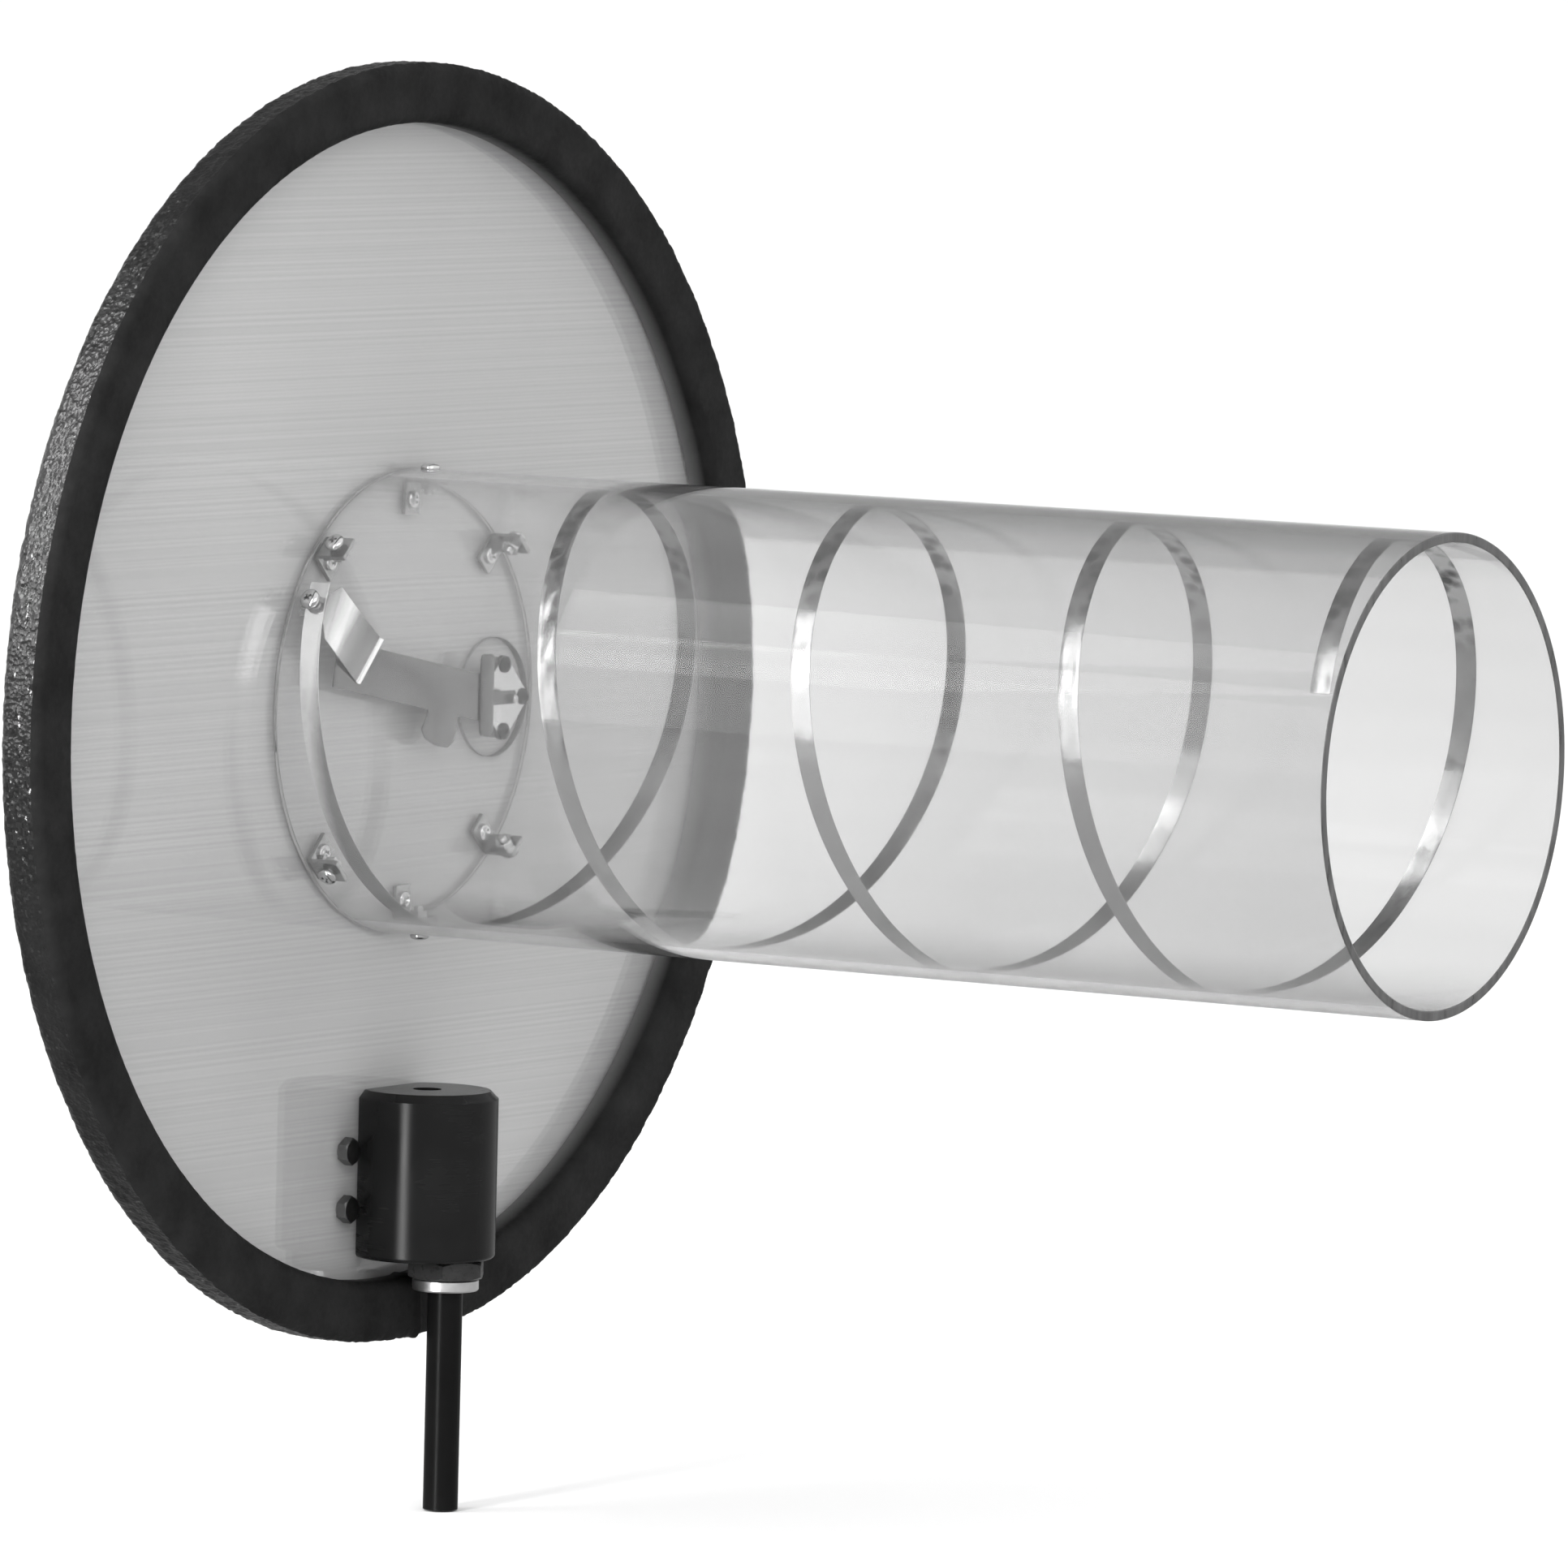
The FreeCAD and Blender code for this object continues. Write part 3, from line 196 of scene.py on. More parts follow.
# ----------------------------------------------------------------------------
# Material helpers
# ----------------------------------------------------------------------------
class Mat:
    def __init__(self, name):
        self.m = bpy.data.materials.new(name)
        self.m.use_nodes = True
        self.nt = self.m.node_tree
        self.nt.nodes.clear()
        self.out = self.nt.nodes.new("ShaderNodeOutputMaterial")
        self.b = self.nt.nodes.new("ShaderNodeBsdfPrincipled")
        self.nt.links.new(self.b.outputs[0], self.out.inputs["Surface"])
        self.tc = self.nt.nodes.new("ShaderNodeTexCoord")

    def set(self, **kw):
        for k, v in kw.items():
            self.b.inputs[k.replace("_", " ")].default_value = v
        return self

    def node(self, kind, **kw):
        n = self.nt.nodes.new(kind)
        for k, v in kw.items():
            setattr(n, k, v)
        return n

    def link(self, a, b):
        self.nt.links.new(a, b)

    def coords(self, scale=(1, 1, 1), rot=(0, 0, 0), loc=(0, 0, 0)):
        mp = self.node("ShaderNodeMapping")
        mp.inputs["Scale"].default_value = scale
        mp.inputs["Rotation"].default_value = rot
        mp.inputs["Location"].default_value = loc
        self.link(self.tc.outputs["Object"], mp.inputs["Vector"])
        return mp.outputs["Vector"]

    def noise(self, scale, detail=3.0, rough=0.55, vec=None, distort=0.0):
        n = self.node("ShaderNodeTexNoise")
        n.inputs["Scale"].default_value = scale
        n.inputs["Detail"].default_value = detail
        n.inputs["Roughness"].default_value = rough
        n.inputs["Distortion"].default_value = distort
        self.link(vec if vec is not None else self.tc.outputs["Object"], n.inputs["Vector"])
        return n.outputs["Fac"]

    def voronoi(self, scale, vec=None, feature="F1", rand=1.0):
        n = self.node("ShaderNodeTexVoronoi", feature=feature)
        n.inputs["Scale"].default_value = scale
        n.inputs["Randomness"].default_value = rand
        self.link(vec if vec is not None else self.tc.outputs["Object"], n.inputs["Vector"])
        return n.outputs["Distance"]

    def ramp(self, fac, stops):
        r = self.node("ShaderNodeValToRGB")
        e = r.color_ramp.elements
        while len(e) < len(stops):
            e.new(0.5)
        for el, (p, v) in zip(e, stops):
            el.position = p
            el.color = (v[0], v[1], v[2], 1) if isinstance(v, (list, tuple)) else (v, v, v, 1)
        self.link(fac, r.inputs["Fac"])
        return r.outputs["Color"]

    def range(self, fac, a, b, c, d, clamp=True):
        r = self.node("ShaderNodeMapRange", clamp=clamp)
        for i, v in enumerate((a, b, c, d)):
            r.inputs[i + 1].default_value = v
        self.link(fac, r.inputs["Value"])
        return r.outputs["Result"]

    def math(self, op, a, b=None, c=None):
        n = self.node("ShaderNodeMath", operation=op)
        for i, v in enumerate((a, b, c)):
            if v is None:
                continue
            if isinstance(v, (int, float)):
                n.inputs[i].default_value = v
            else:
                self.link(v, n.inputs[i])
        return n.outputs[0]

    def mixc(self, fac, a, b, blend="MIX"):
        n = self.node("ShaderNodeMix", data_type="RGBA", blend_type=blend)
        for i, v in ((0, fac), (6, a), (7, b)):
            if isinstance(v, (int, float)):
                n.inputs[i].default_value = v if i == 0 else (v, v, v, 1)
            elif isinstance(v, (list, tuple)):
                n.inputs[i].default_value = (v[0], v[1], v[2], 1)
            else:
                self.link(v, n.inputs[i])
        return n.outputs[2]

    def bump(self, height, distance, strength=1.0, normal=None):
        n = self.node("ShaderNodeBump")
        n.inputs["Distance"].default_value = distance
        n.inputs["Strength"].default_value = strength
        self.link(height, n.inputs["Height"])
        if normal is not None:
            self.link(normal, n.inputs["Normal"])
        return n.outputs["Normal"]

    def color(self, sock):
        self.link(sock, self.b.inputs["Base Color"])

    def rough(self, sock):
        self.link(sock, self.b.inputs["Roughness"])

    def normal(self, sock):
        self.link(sock, self.b.inputs["Normal"])

    def lamps_pass(self, tint):
        # light from lamps, and soft light on its way to a dull surface, reaches
        # what is behind the clear plastic
        lp = self.node("ShaderNodeLightPath")
        last = self.b.outputs[0]
        for kind in ("Is Shadow Ray", "Is Diffuse Ray"):
            tr = self.node("ShaderNodeBsdfTransparent")
            tr.inputs["Color"].default_value = (tint, tint, tint, 1)
            mx = self.node("ShaderNodeMixShader")
            self.link(lp.outputs[kind], mx.inputs[0])
            self.link(last, mx.inputs[1])
            self.link(tr.outputs[0], mx.inputs[2])
            last = mx.outputs[0]
        self.link(last, self.out.inputs["Surface"])


# ----------------------------------------------------------------------------
# Materials
# ----------------------------------------------------------------------------
def mat_clear_tube():
    m = Mat("clear_tube")
    m.set(Roughness=0.02, IOR=1.49, Transmission_Weight=0.961, Specular_Tint=(0.10, 0.10, 0.10, 1))
    # a slight smoke in the plastic, a little uneven along its drawn length
    drawn = m.noise(9.0, 3.0, 0.6, m.coords((0.35, 6.0, 6.0)))
    smoke = m.ramp(drawn, [(0.3, (0.90, 0.90, 0.90)), (0.7, (0.935, 0.935, 0.935))])
    # darker towards the open end
    sep = m.node("ShaderNodeSeparateXYZ")
    m.link(m.tc.outputs["Object"], sep.inputs[0])
    smoke = m.mixc(1.0, smoke, m.range(sep.outputs["X"], AX + 0.06, AX + 0.19, 1.0, 0.80), "MULTIPLY")
    smoke = m.mixc(1.0, smoke, m.range(sep.outputs["X"], AX + 0.22, AX + 0.37, 1.0, 0.93), "MULTIPLY")
    # the eye looks through more plastic where the wall turns away
    lw = m.node("ShaderNodeLayerWeight")
    lw.inputs["Blend"].default_value = 0.5
    deep = m.range(lw.outputs["Facing"], 0.50, 0.95, 1.0, 0.55)
    m.color(m.mixc(1.0, smoke, deep, "MULTIPLY"))
    # draw lines along the tube, with a few dust specks
    lines = m.noise(24.0, 1.0, 0.5, m.coords((0.12, 4.0, 4.0)))
    haze = m.noise(700.0, 2.0, 0.6)
    m.rough(m.range(haze, 0.35, 0.75, 0.012, 0.05))
    m.normal(m.bump(lines, 0.0001, 0.04))
    m.lamps_pass(0.93)
    return m.m


def mat_tube_edge():
    m = Mat("tube_cut_edge")
    m.set(IOR=1.49, Coat_Weight=0.25, Coat_Roughness=0.12)
    saw = m.noise(400.0, 4.0, 0.6, m.coords((1, 1, 0.15), (0.4, 0, 0)))
    m.color(m.ramp(saw, [(0.3, (0.035, 0.035, 0.035)), (0.75, (0.11, 0.11, 0.11))]))
    m.rough(m.range(saw, 0.3, 0.7, 0.25, 0.45))
    m.normal(m.bump(saw, 0.0002, 0.3))
    return m.m


def mat_clear_sheet():
    m = Mat("clear_sheet")
    m.set(Roughness=0.03, IOR=1.36, Transmission_Weight=1.0)
    cloud = m.noise(3.0, 2.0, 0.5)
    m.color(m.ramp(cloud, [(0.3, (0.93, 0.93, 0.93)), (0.7, (0.97, 0.97, 0.97))]))
    wav = m.noise(7.0, 2.0, 0.5)
    m.normal(m.bump(wav, 0.0005, 0.012))
    scr = m.noise(900.0, 2.0, 0.7)
    m.rough(m.range(scr, 0.4, 0.8, 0.010, 0.03))
    m.lamps_pass(0.95)
    return m.m


def mat_frosted(name, lo, hi):
    m = Mat(name)
    m.set(IOR=1.45)
    saw = m.noise(500.0, 4.0, 0.6, m.coords((0.2, 1, 1)))
    m.color(m.ramp(saw, [(0.3, (lo, lo, lo)), (0.7, (hi, hi, hi))]))
    m.rough(m.range(saw, 0.3, 0.7, 0.32, 0.5))
    m.normal(m.bump(saw, 0.0001, 0.2))
    return m.m


def mat_plate():
    m = Mat("ground_plate_grey")
    m.set(IOR=1.45)
    # rolled sheet: fine level lines of uneven strength, over soft cloudy tone
    z1 = m.noise(1.0, 0.0, 0.5, m.coords((0.8, 0.8, 980.0)))
    z2 = m.noise(1.0, 1.0, 0.5, m.coords((4.0, 4.0, 240.0)))
    cloud = m.noise(6.5, 2.0, 0.5)
    big = m.noise(3.0, 1.0, 0.5, m.coords((1, 1, 1), (0, 0, 0), (3.1, 1.7, 0.4)))
    lines = m.math("ADD", m.math("MULTIPLY", z1, 0.88), m.math("MULTIPLY", z2, 0.12))
    tone = m.ramp(big, [(0.35, (0.36, 0.36, 0.36)), (0.65, (0.515, 0.515, 0.515))])
    tone = m.mixc(m.range(cloud, 0.35, 0.65, 0.0, 0.45), tone, (0.45, 0.45, 0.45))
    lines_and_painted_shade = m.ramp(lines, [(0.34, (0.87, 0.87, 0.87)), (0.66, (1.0, 1.0, 1.0))])
    # painted shade: darker over the upper half and lighter towards the bottom, where more light falls
    sep = m.node("ShaderNodeSeparateXYZ")
    m.link(m.tc.outputs["Object"], sep.inputs[0])
    lines_and_painted_shade = m.mixc(1.0, lines_and_painted_shade, m.range(sep.outputs["Z"], AZ - 0.16, AZ + 0.16, 1.09, 0.93), "MULTIPLY")
    m.color(m.mixc(1.0, tone, lines_and_painted_shade, "MULTIPLY"))
    m.rough(m.range(lines, 0.3, 0.7, 0.40, 0.52))
    m.normal(m.bump(lines, 0.00012, 0.15))
    return m.m


def mat_foam():
    m = Mat("foam_black")
    m.set(IOR=1.4, Specular_IOR_Level=0.12)
    # painted light: the inner wall is paler and duller next to the disc, lit by light bouncing off the disc
    sep = m.node("ShaderNodeSeparateXYZ")
    m.link(m.tc.outputs["Object"], sep.inputs[0])
    x = m.math("MULTIPLY", m.math("SUBTRACT", sep.outputs["X"], AX), 1000.0)
    y = m.math("SUBTRACT", sep.outputs["Y"], AY + DISC_Y * MM)
    z = m.math("SUBTRACT", sep.outputs["Z"], AZ)
    r = m.math("MULTIPLY", m.math("SQRT", m.math("ADD", m.math("MULTIPLY", y, y), m.math("MULTIPLY", z, z))), 1000.0)
    inner = m.range(r, 189.7, 190.6, 1.0, 0.0)
    painted_light_zone = m.range(x, 0.2, 7.0, 1.0, 0.0)
    wall = m.math("MULTIPLY", inner, painted_light_zone)
    fine = m.noise(420.0, 4.0, 0.65)
    dust = m.noise(60.0, 4.0, 0.6)
    base = m.ramp(dust, [(0.3, (0.008, 0.008, 0.008)), (0.75, (0.018, 0.018, 0.018))])
    # painted light: a paler grey is mixed over the inner wall next to the disc
    m.color(m.mixc(m.math("MULTIPLY", wall, 0.95), base, (0.13, 0.13, 0.13)))
    m.rough(m.range(fine, 0.3, 0.7, 0.62, 0.80))
    cells = m.voronoi(520.0)
    h = m.math("ADD", m.math("MULTIPLY", cells, 0.5), fine)
    m.normal(m.bump(h, 0.0004, 0.35))
    return m.m


def mat_foam_skin(name, spec, r0, r1):
    # the outer wall's skin is closed and shines where it crinkles
    m = Mat(name)
    m.set(IOR=1.45, Specular_IOR_Level=spec)
    fine = m.noise(420.0, 3.0, 0.6)
    dust = m.noise(60.0, 4.0, 0.6)
    m.color(m.ramp(dust, [(0.3, (0.006, 0.006, 0.006)), (0.75, (0.014, 0.014, 0.014))]))
    m.rough(m.range(fine, 0.3, 0.7, r0, r1))
    cells = m.voronoi(640.0)
    m.normal(m.bump(m.math("ADD", m.math("MULTIPLY", cells, 0.6), m.math("MULTIPLY", fine, 0.4)), 0.0006, 0.75))
    return m.m


def mat_strip():
    m = Mat("strip_foil")
    m.set(Metallic=1.0, Anisotropic=0.25)
    sep = m.node("ShaderNodeSeparateXYZ")
    m.link(m.tc.outputs["Object"], sep.inputs[0])
    tone = m.noise(28.0, 4.0, 0.6)
    base = m.ramp(tone, [(0.3, (0.27, 0.27, 0.27)), (0.7, (0.34, 0.34, 0.34))])
    # crumpled over the top of the tube, with painted shade and painted highlights on its facets; painted highlight
    # over the fed end
    crum = m.voronoi(170.0, m.coords((1.0, 1.0, 1.0), (0.3, 0.2, 0.1)))
    high = m.range(sep.outputs["Z"], AZ + 0.033, AZ + 0.052, 0.0, 1.0)
    facet_painted_light_and_shade = m.ramp(crum, [(0.25, (0.07, 0.07, 0.07)), (0.62, (0.44, 0.44, 0.44))])
    base = m.mixc(m.math("MULTIPLY", high, 0.92), base, facet_painted_light_and_shade)
    # painted highlight: brighter along the near side, just above the middle, where the lamps reflect
    painted_light_zone = m.math("MULTIPLY", m.range(sep.outputs["Z"], AZ - 0.004, AZ + 0.004, 0.0, 1.0),
                  m.range(sep.outputs["Z"], AZ + 0.036, AZ + 0.050, 1.0, 0.0))
    painted_light_zone = m.math("MULTIPLY", painted_light_zone, m.range(sep.outputs["Y"], AY - 0.050, AY - 0.040, 1.0, 0.0))
    base = m.mixc(painted_light_zone, base, (0.45, 0.45, 0.45))
    # painted highlight: the first turn by the fed end is made near white, standing in for a lamp reflection the disc
    # hides
    fed_turn_painted_highlight = m.range(sep.outputs["X"], AX + 0.0125, AX + 0.0185, 1.0, 0.0)
    m.color(m.mixc(fed_turn_painted_highlight, base, (1.0, 1.0, 1.0)))
    m.rough(m.range(m.noise(220.0, 3.0, 0.6), 0.3, 0.7, 0.13, 0.24))
    wrinkle = m.noise(120.0, 3.0, 0.6, None, 0.6)
    m.normal(m.bump(wrinkle, 0.0006, 0.08))
    return m.m


def mat_metal(name, lo, hi, r0, r1, scale=300.0, bump=0.08, metallic=1.0):
    m = Mat(name)
    m.set(Metallic=metallic)
    t = m.noise(scale * 0.25, 4.0, 0.6)
    m.color(m.ramp(t, [(0.3, (lo, lo, lo)), (0.7, (hi, hi, hi))]))
    f = m.noise(scale, 4.0, 0.65)
    m.rough(m.range(f, 0.3, 0.7, r0, r1))
    m.normal(m.bump(f, 0.0001, bump))
    return m.m


def mat_strap(name, lo, hi):
    m = Mat(name)
    m.set(Metallic=1.0, Anisotropic=0.3)
    grain = m.noise(1.0, 2.0, 0.5, m.coords((400.0, 60.0, 900.0), (0.18, 0, 0)))
    tone = m.noise(30.0, 2.0, 0.5)
    m.color(m.ramp(tone, [(0.3, (lo, lo, lo)), (0.7, (hi, hi, hi))]))
    m.rough(m.range(grain, 0.3, 0.7, 0.16, 0.22))
    return m.m


def mat_strap_bent():
    # tinned strap, with painted highlights where it leaves the wall and along its end fold, and painted shade over
    # the flat between
    m = Mat("strap_tinned_bent")
    m.set(Metallic=1.0)
    dot = m.node("ShaderNodeVectorMath", operation="DOT_PRODUCT")
    sub = m.node("ShaderNodeVectorMath", operation="SUBTRACT")
    m.link(m.tc.outputs["Object"], sub.inputs[0])
    sub.inputs[1].default_value = (AX, AY - (TUBE_R - 3.175) * MM * math.sin(math.radians(61.6)),
                                   AZ + (TUBE_R - 3.175) * MM * math.cos(math.radians(61.6)))
    m.link(sub.outputs[0], dot.inputs[0])
    # the fold lines run a little aslant across the strap
    dot.inputs[1].default_value = (0.0, math.sin(math.radians(61.6)) - 0.27 * math.cos(math.radians(61.6)),
                                   -math.cos(math.radians(61.6)) - 0.27 * math.sin(math.radians(61.6)))
    depth = m.range(dot.outputs["Value"], 0.0, 0.040, 0.0, 1.0)
    # painted highlights and painted shade along the strap, by distance from the wall
    tone = m.ramp(depth, [(0.05, (0.42, 0.42, 0.42)), (0.22, (0.72, 0.72, 0.72)), (0.38, (1.0, 1.0, 1.0)), (0.46, (0.98, 0.98, 0.98)),
                          (0.56, (0.40, 0.40, 0.40)), (0.75, (0.22, 0.22, 0.22)), (0.935, (0.26, 0.26, 0.26)), (0.955, (1.0, 1.0, 1.0))])
    grain = m.noise(30.0, 2.0, 0.5)
    m.color(m.mixc(m.range(grain, 0.3, 0.7, 0.0, 0.12), tone, (0.5, 0.5, 0.5)))
    m.rough(m.range(grain, 0.3, 0.7, 0.16, 0.24))
    return m.m


def mat_block():
    m = Mat("block_black")
    m.set(IOR=1.4, Specular_IOR_Level=0.21)
    turn = m.noise(1.0, 2.0, 0.5, m.coords((15.0, 15.0, 1100.0)))
    dust = m.noise(150.0, 5.0, 0.65)
    smear = m.noise(22.0, 3.0, 0.55)
    base = m.ramp(smear, [(0.3, (0.004, 0.004, 0.004)), (0.7, (0.010, 0.010, 0.010))])
    m.color(m.mixc(m.range(dust, 0.62, 0.82, 0.0, 0.25), base, (0.03, 0.03, 0.03)))
    m.rough(m.range(m.math("ADD", m.math("MULTIPLY", turn, 0.15), m.math("MULTIPLY", smear, 0.85)), 0.35, 0.65, 0.22, 0.30))
    m.normal(m.bump(turn, 0.00003, 0.08))
    return m.m


def mat_black_gloss(name, r0, r1, base0, base1, scale, bump, spec=0.5):
    m = Mat(name)
    m.set(IOR=1.42, Specular_IOR_Level=spec)
    t = m.noise(scale * 0.2, 4.0, 0.6)
    m.color(m.ramp(t, [(0.3, (base0, base0, base0)), (0.75, (base1, base1, base1))]))
    f = m.noise(scale, 3.0, 0.6)
    m.rough(m.range(f, 0.3, 0.7, r0, r1))
    m.normal(m.bump(f, 0.0002, bump))
    return m.m


def mat_plastic(name, lo, hi):
    m = Mat(name)
    m.set(Subsurface_Weight=0.1, Subsurface_Scale=0.002)
    t = m.noise(300.0, 3.0, 0.6)
    m.color(m.ramp(t, [(0.3, (lo, lo, lo)), (0.7, (hi, hi, hi))]))
    m.rough(m.range(t, 0.3, 0.7, 0.35, 0.5))
    m.normal(m.bump(t, 0.0001, 0.1))
    return m.m


def mat_floor():
    m = Mat("floor_pale")
    m.set(IOR=1.3)
    n = m.noise(1.2, 3.0, 0.5)
    m.color(m.ramp(n, [(0.3, (0.945, 0.945, 0.945)), (0.7, (0.96, 0.96, 0.96))]))
    m.rough(m.range(n, 0.3, 0.7, 0.85, 0.95))
    return m.m


TUBE_MAT, EDGE_MAT, SHEET_MAT = mat_clear_tube(), mat_tube_edge(), mat_clear_sheet()
FOOT_MAT, CUT_MAT = mat_frosted("tube_foot_edge", 0.20, 0.30), mat_frosted("sheet_cut_edge", 0.16, 0.24)
PLATE_MAT, FOAM_MAT, SKIN_MAT, STRIP_MAT = mat_plate(), mat_foam(), mat_foam_skin("foam_skin", 0.8, 0.10, 0.21), mat_strip()
SKIN_DULL = mat_foam_skin("foam_skin_dull", 0.24, 0.24, 0.40)
STEEL = mat_metal("bright_steel", 0.50, 0.64, 0.09, 0.18)
STRAP_UP = mat_strap_bent()
STRAP = mat_strap("strap_tinned", 0.13, 0.18)
END_TAB = mat_strap("end_tab_dull", 0.12, 0.19)
BRACKET = mat_metal("bracket_steel", 0.30, 0.42, 0.12, 0.24)
SCREW_DARK = mat_metal("connector_screw_steel", 0.05, 0.10, 0.10, 0.18)
NICKEL = mat_metal("connector_nickel", 0.50, 0.60, 0.16, 0.28)
STUD = mat_metal("stud_nickel", 0.55, 0.68, 0.30, 0.42, 420.0)
ALLOY = mat_metal("backing_alloy", 0.42, 0.55, 0.28, 0.42, 500.0, 0.15)
BOLT = mat_metal("bolt_dark_zinc", 0.13, 0.20, 0.28, 0.42, 350.0, 0.15)
PIN = mat_metal("pin_plated", 0.45, 0.55, 0.15, 0.28, 500.0)
PTFE = mat_plastic("insulator_white", 0.50, 0.60)
BLOCK = mat_block()
NUT_BLACK = mat_black_gloss("nut_black_oxide", 0.22, 0.38, 0.010, 0.028, 500.0, 0.25)
ROD = mat_black_gloss("rod_black", 0.28, 0.34, 0.004, 0.007, 160.0, 0.02, 0.075)
FLOOR = mat_floor()


def paint(node, mat):
    o = NODES[node]
    o.data.materials.clear()
    o.data.materials.append(mat)
    for p in o.data.polygons:
        p.material_index = 0


for n in ("tube_nuts", "disc_nuts", "feed_nut", "connector_spacers", "connector_nuts"):
    paint(n, STEEL)
for n in ("bracket_top", "bracket_upper_left", "bracket_lower_left", "bracket_bottom", "bracket_lower_right", "bracket_upper_right"):
    paint(n, BRACKET)
paint("ground_plate", PLATE_MAT)
paint("connector_body", NICKEL)
paint("connector_insulator", PTFE)
paint("connector_pin", PIN)
paint("backing_plate", ALLOY)
for n in ("hex_bolts", "hex_bolt_nuts", "block_bolts"):
    paint(n, BOLT)
paint("lock_nut", NUT_BLACK)
paint("stand_rod", ROD)
paint("stand_block", BLOCK)
paint("stand_stud", STUD)

made = {}


def place(ob, node, body="antenna"):
    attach(ob, body)
    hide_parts(node)
    made[node] = ob
    return ob


# ----------------------------------------------------------------------------
# Clear tube
# ----------------------------------------------------------------------------
TO_X = Matrix.Rotation(math.radians(90), 4, "Y")      # lathe axis z onto x
ri, ro, L = TUBE_R - 3.175, TUBE_R, TUBE_L
prof = [(ri, 0.3), (ri + 0.25, 0.0), (ro - 0.25, 0.0), (ro, 0.3)]
prof += [(ro, 0.6), (ro, L * 0.25), (ro, L * 0.5), (ro, L * 0.75), (ro, L - 0.6)]
prof += [(ro, L - 0.35), (ro - 0.12, L - 0.1), (ro - 0.4, L), (ri + 0.4, L), (ri + 0.12, L - 0.1), (ri, L - 0.35)]
prof += [(ri, L - 0.6), (ri, L * 0.75), (ri, L * 0.5), (ri, L * 0.25), (ri, 0.6)]
v, f, tags = lathe(prof, 384, ring=True)
edge_rows = set()
for i in range(len(prof)):
    a, b = prof[i], prof[(i + 1) % len(prof)]
    if max(a[1], b[1]) <= 0.36 or min(a[1], b[1]) >= L - 0.36:
        edge_rows.add(i)
foot_rows = {i for i in edge_rows if prof[i][1] < 1.0}
fm = [2 if t in foot_rows else 1 if t in edge_rows else 0 for t in tags]
tube = make("tube_clear", v, f, ANT @ TO_X, [TUBE_MAT, EDGE_MAT, FOOT_MAT], fm, True, 14.0)
place(tube, "antenna_tube")

# ----------------------------------------------------------------------------
# Disc's clear front sheet
# ----------------------------------------------------------------------------
angles = [0.0, 45.0, 135.0, 180.0, 225.0, 315.0]


def on_disc(a, r):
    return (-r * math.sin(math.radians(a)), r * math.cos(math.radians(a)))


c_lo, c_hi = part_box("connector_body")
CY = ((c_lo.y + c_hi.y) / 2.0 - AY) / MM
CZ = ((c_lo.z + c_hi.z) / 2.0 - AZ) / MM
hexs = [(s * 26.4 - AY / MM, z - AZ / MM) for s in (-1, 1) for z in (99.0, 118.0)]
blks = [(-AY / MM, z - AZ / MM) for z in (92.0, 112.0)]
holes = [circle(CY, CZ, 20.0, 96)]
holes += [circle(y, z, 1.6, 20) for (y, z) in (on_disc(a, 65.8) for a in angles)]
holes += [circle(y, z, 2.6, 20) for (y, z) in hexs] + [circle(y, z, 3.15, 20) for (y, z) in blks]
v, f = sheet_mesh(circle(DISC_Y, 0.0, 203.15, 360), holes, -2.45, 0.0, 0.12)
cut = [0 if max(v[i][2] for i in q) - min(v[i][2] for i in q) < 1e-4 else 1 for q in f]
# sheet_mesh lies in x, y; swing it to stand in y, z
UP = Matrix(((0, 0, 1, 0), (1, 0, 0, 0), (0, 1, 0, 0), (0, 0, 0, 1)))
sheet = make("front_sheet_clear", v, f, ANT @ UP, [SHEET_MAT, CUT_MAT], cut, True, 10.0)
place(sheet, "clear_front_sheet")

# ----------------------------------------------------------------------------
# Foam trim: a U section bent round the disc, with a crinkled skin
# ----------------------------------------------------------------------------
RI, RO, XF, XB = 189.2, TRIM_R - 0.34, TRIM_F - 0.05, TRIM_B + 0.05
sec = []


def line(a, b, step):
    n = max(1, int(round(math.hypot(b[0] - a[0], b[1] - a[1]) / step)))
    return [(a[0] + (b[0] - a[0]) * k / n, a[1] + (b[1] - a[1]) * k / n) for k in range(n)]


sec += line((0.02, RI), (XF - 3.4, RI), 1.0)
sec += arc(XF - 3.4, RI + 3.4, 3.4, -90, 0, 6)[:-1]
sec += line((XF, RI + 3.4), (XF, RO - 3.2), 1.2)
sec += arc(XF - 3.2, RO - 3.2, 3.2, 0, 90, 7)[:-1]
sec += line((XF - 3.2, RO), (XB + 4.2, RO), 0.8)
sec += arc(XB + 4.2, RO - 4.2, 4.2, 90, 180, 6)[:-1]
sec += line((XB, RO - 4.2), (XB, 195.6), 1.6)
sec += [(XB + 0.3, 195.1), (-3.36, 195.0)]
sec += line((-3.36, 195.0), (-3.36, 203.25), 2.6)[1:]
sec += [(-3.36, 203.27), (0.02, 203.27)]
sec += line((0.02, 203.27), (0.02, RI), 3.0)[1:]
SEGS = 1560
seam = math.radians(183.0)
verts, faces = [], []
n = len(sec)
nrm = []
for i in range(n):
    a, b = sec[i - 1], sec[(i + 1) % n]
    tx, tr = b[0] - a[0], b[1] - a[1]
    q = math.hypot(tx, tr) or 1.0
    nrm.append((-tr / q, tx / q))          # outward across the section
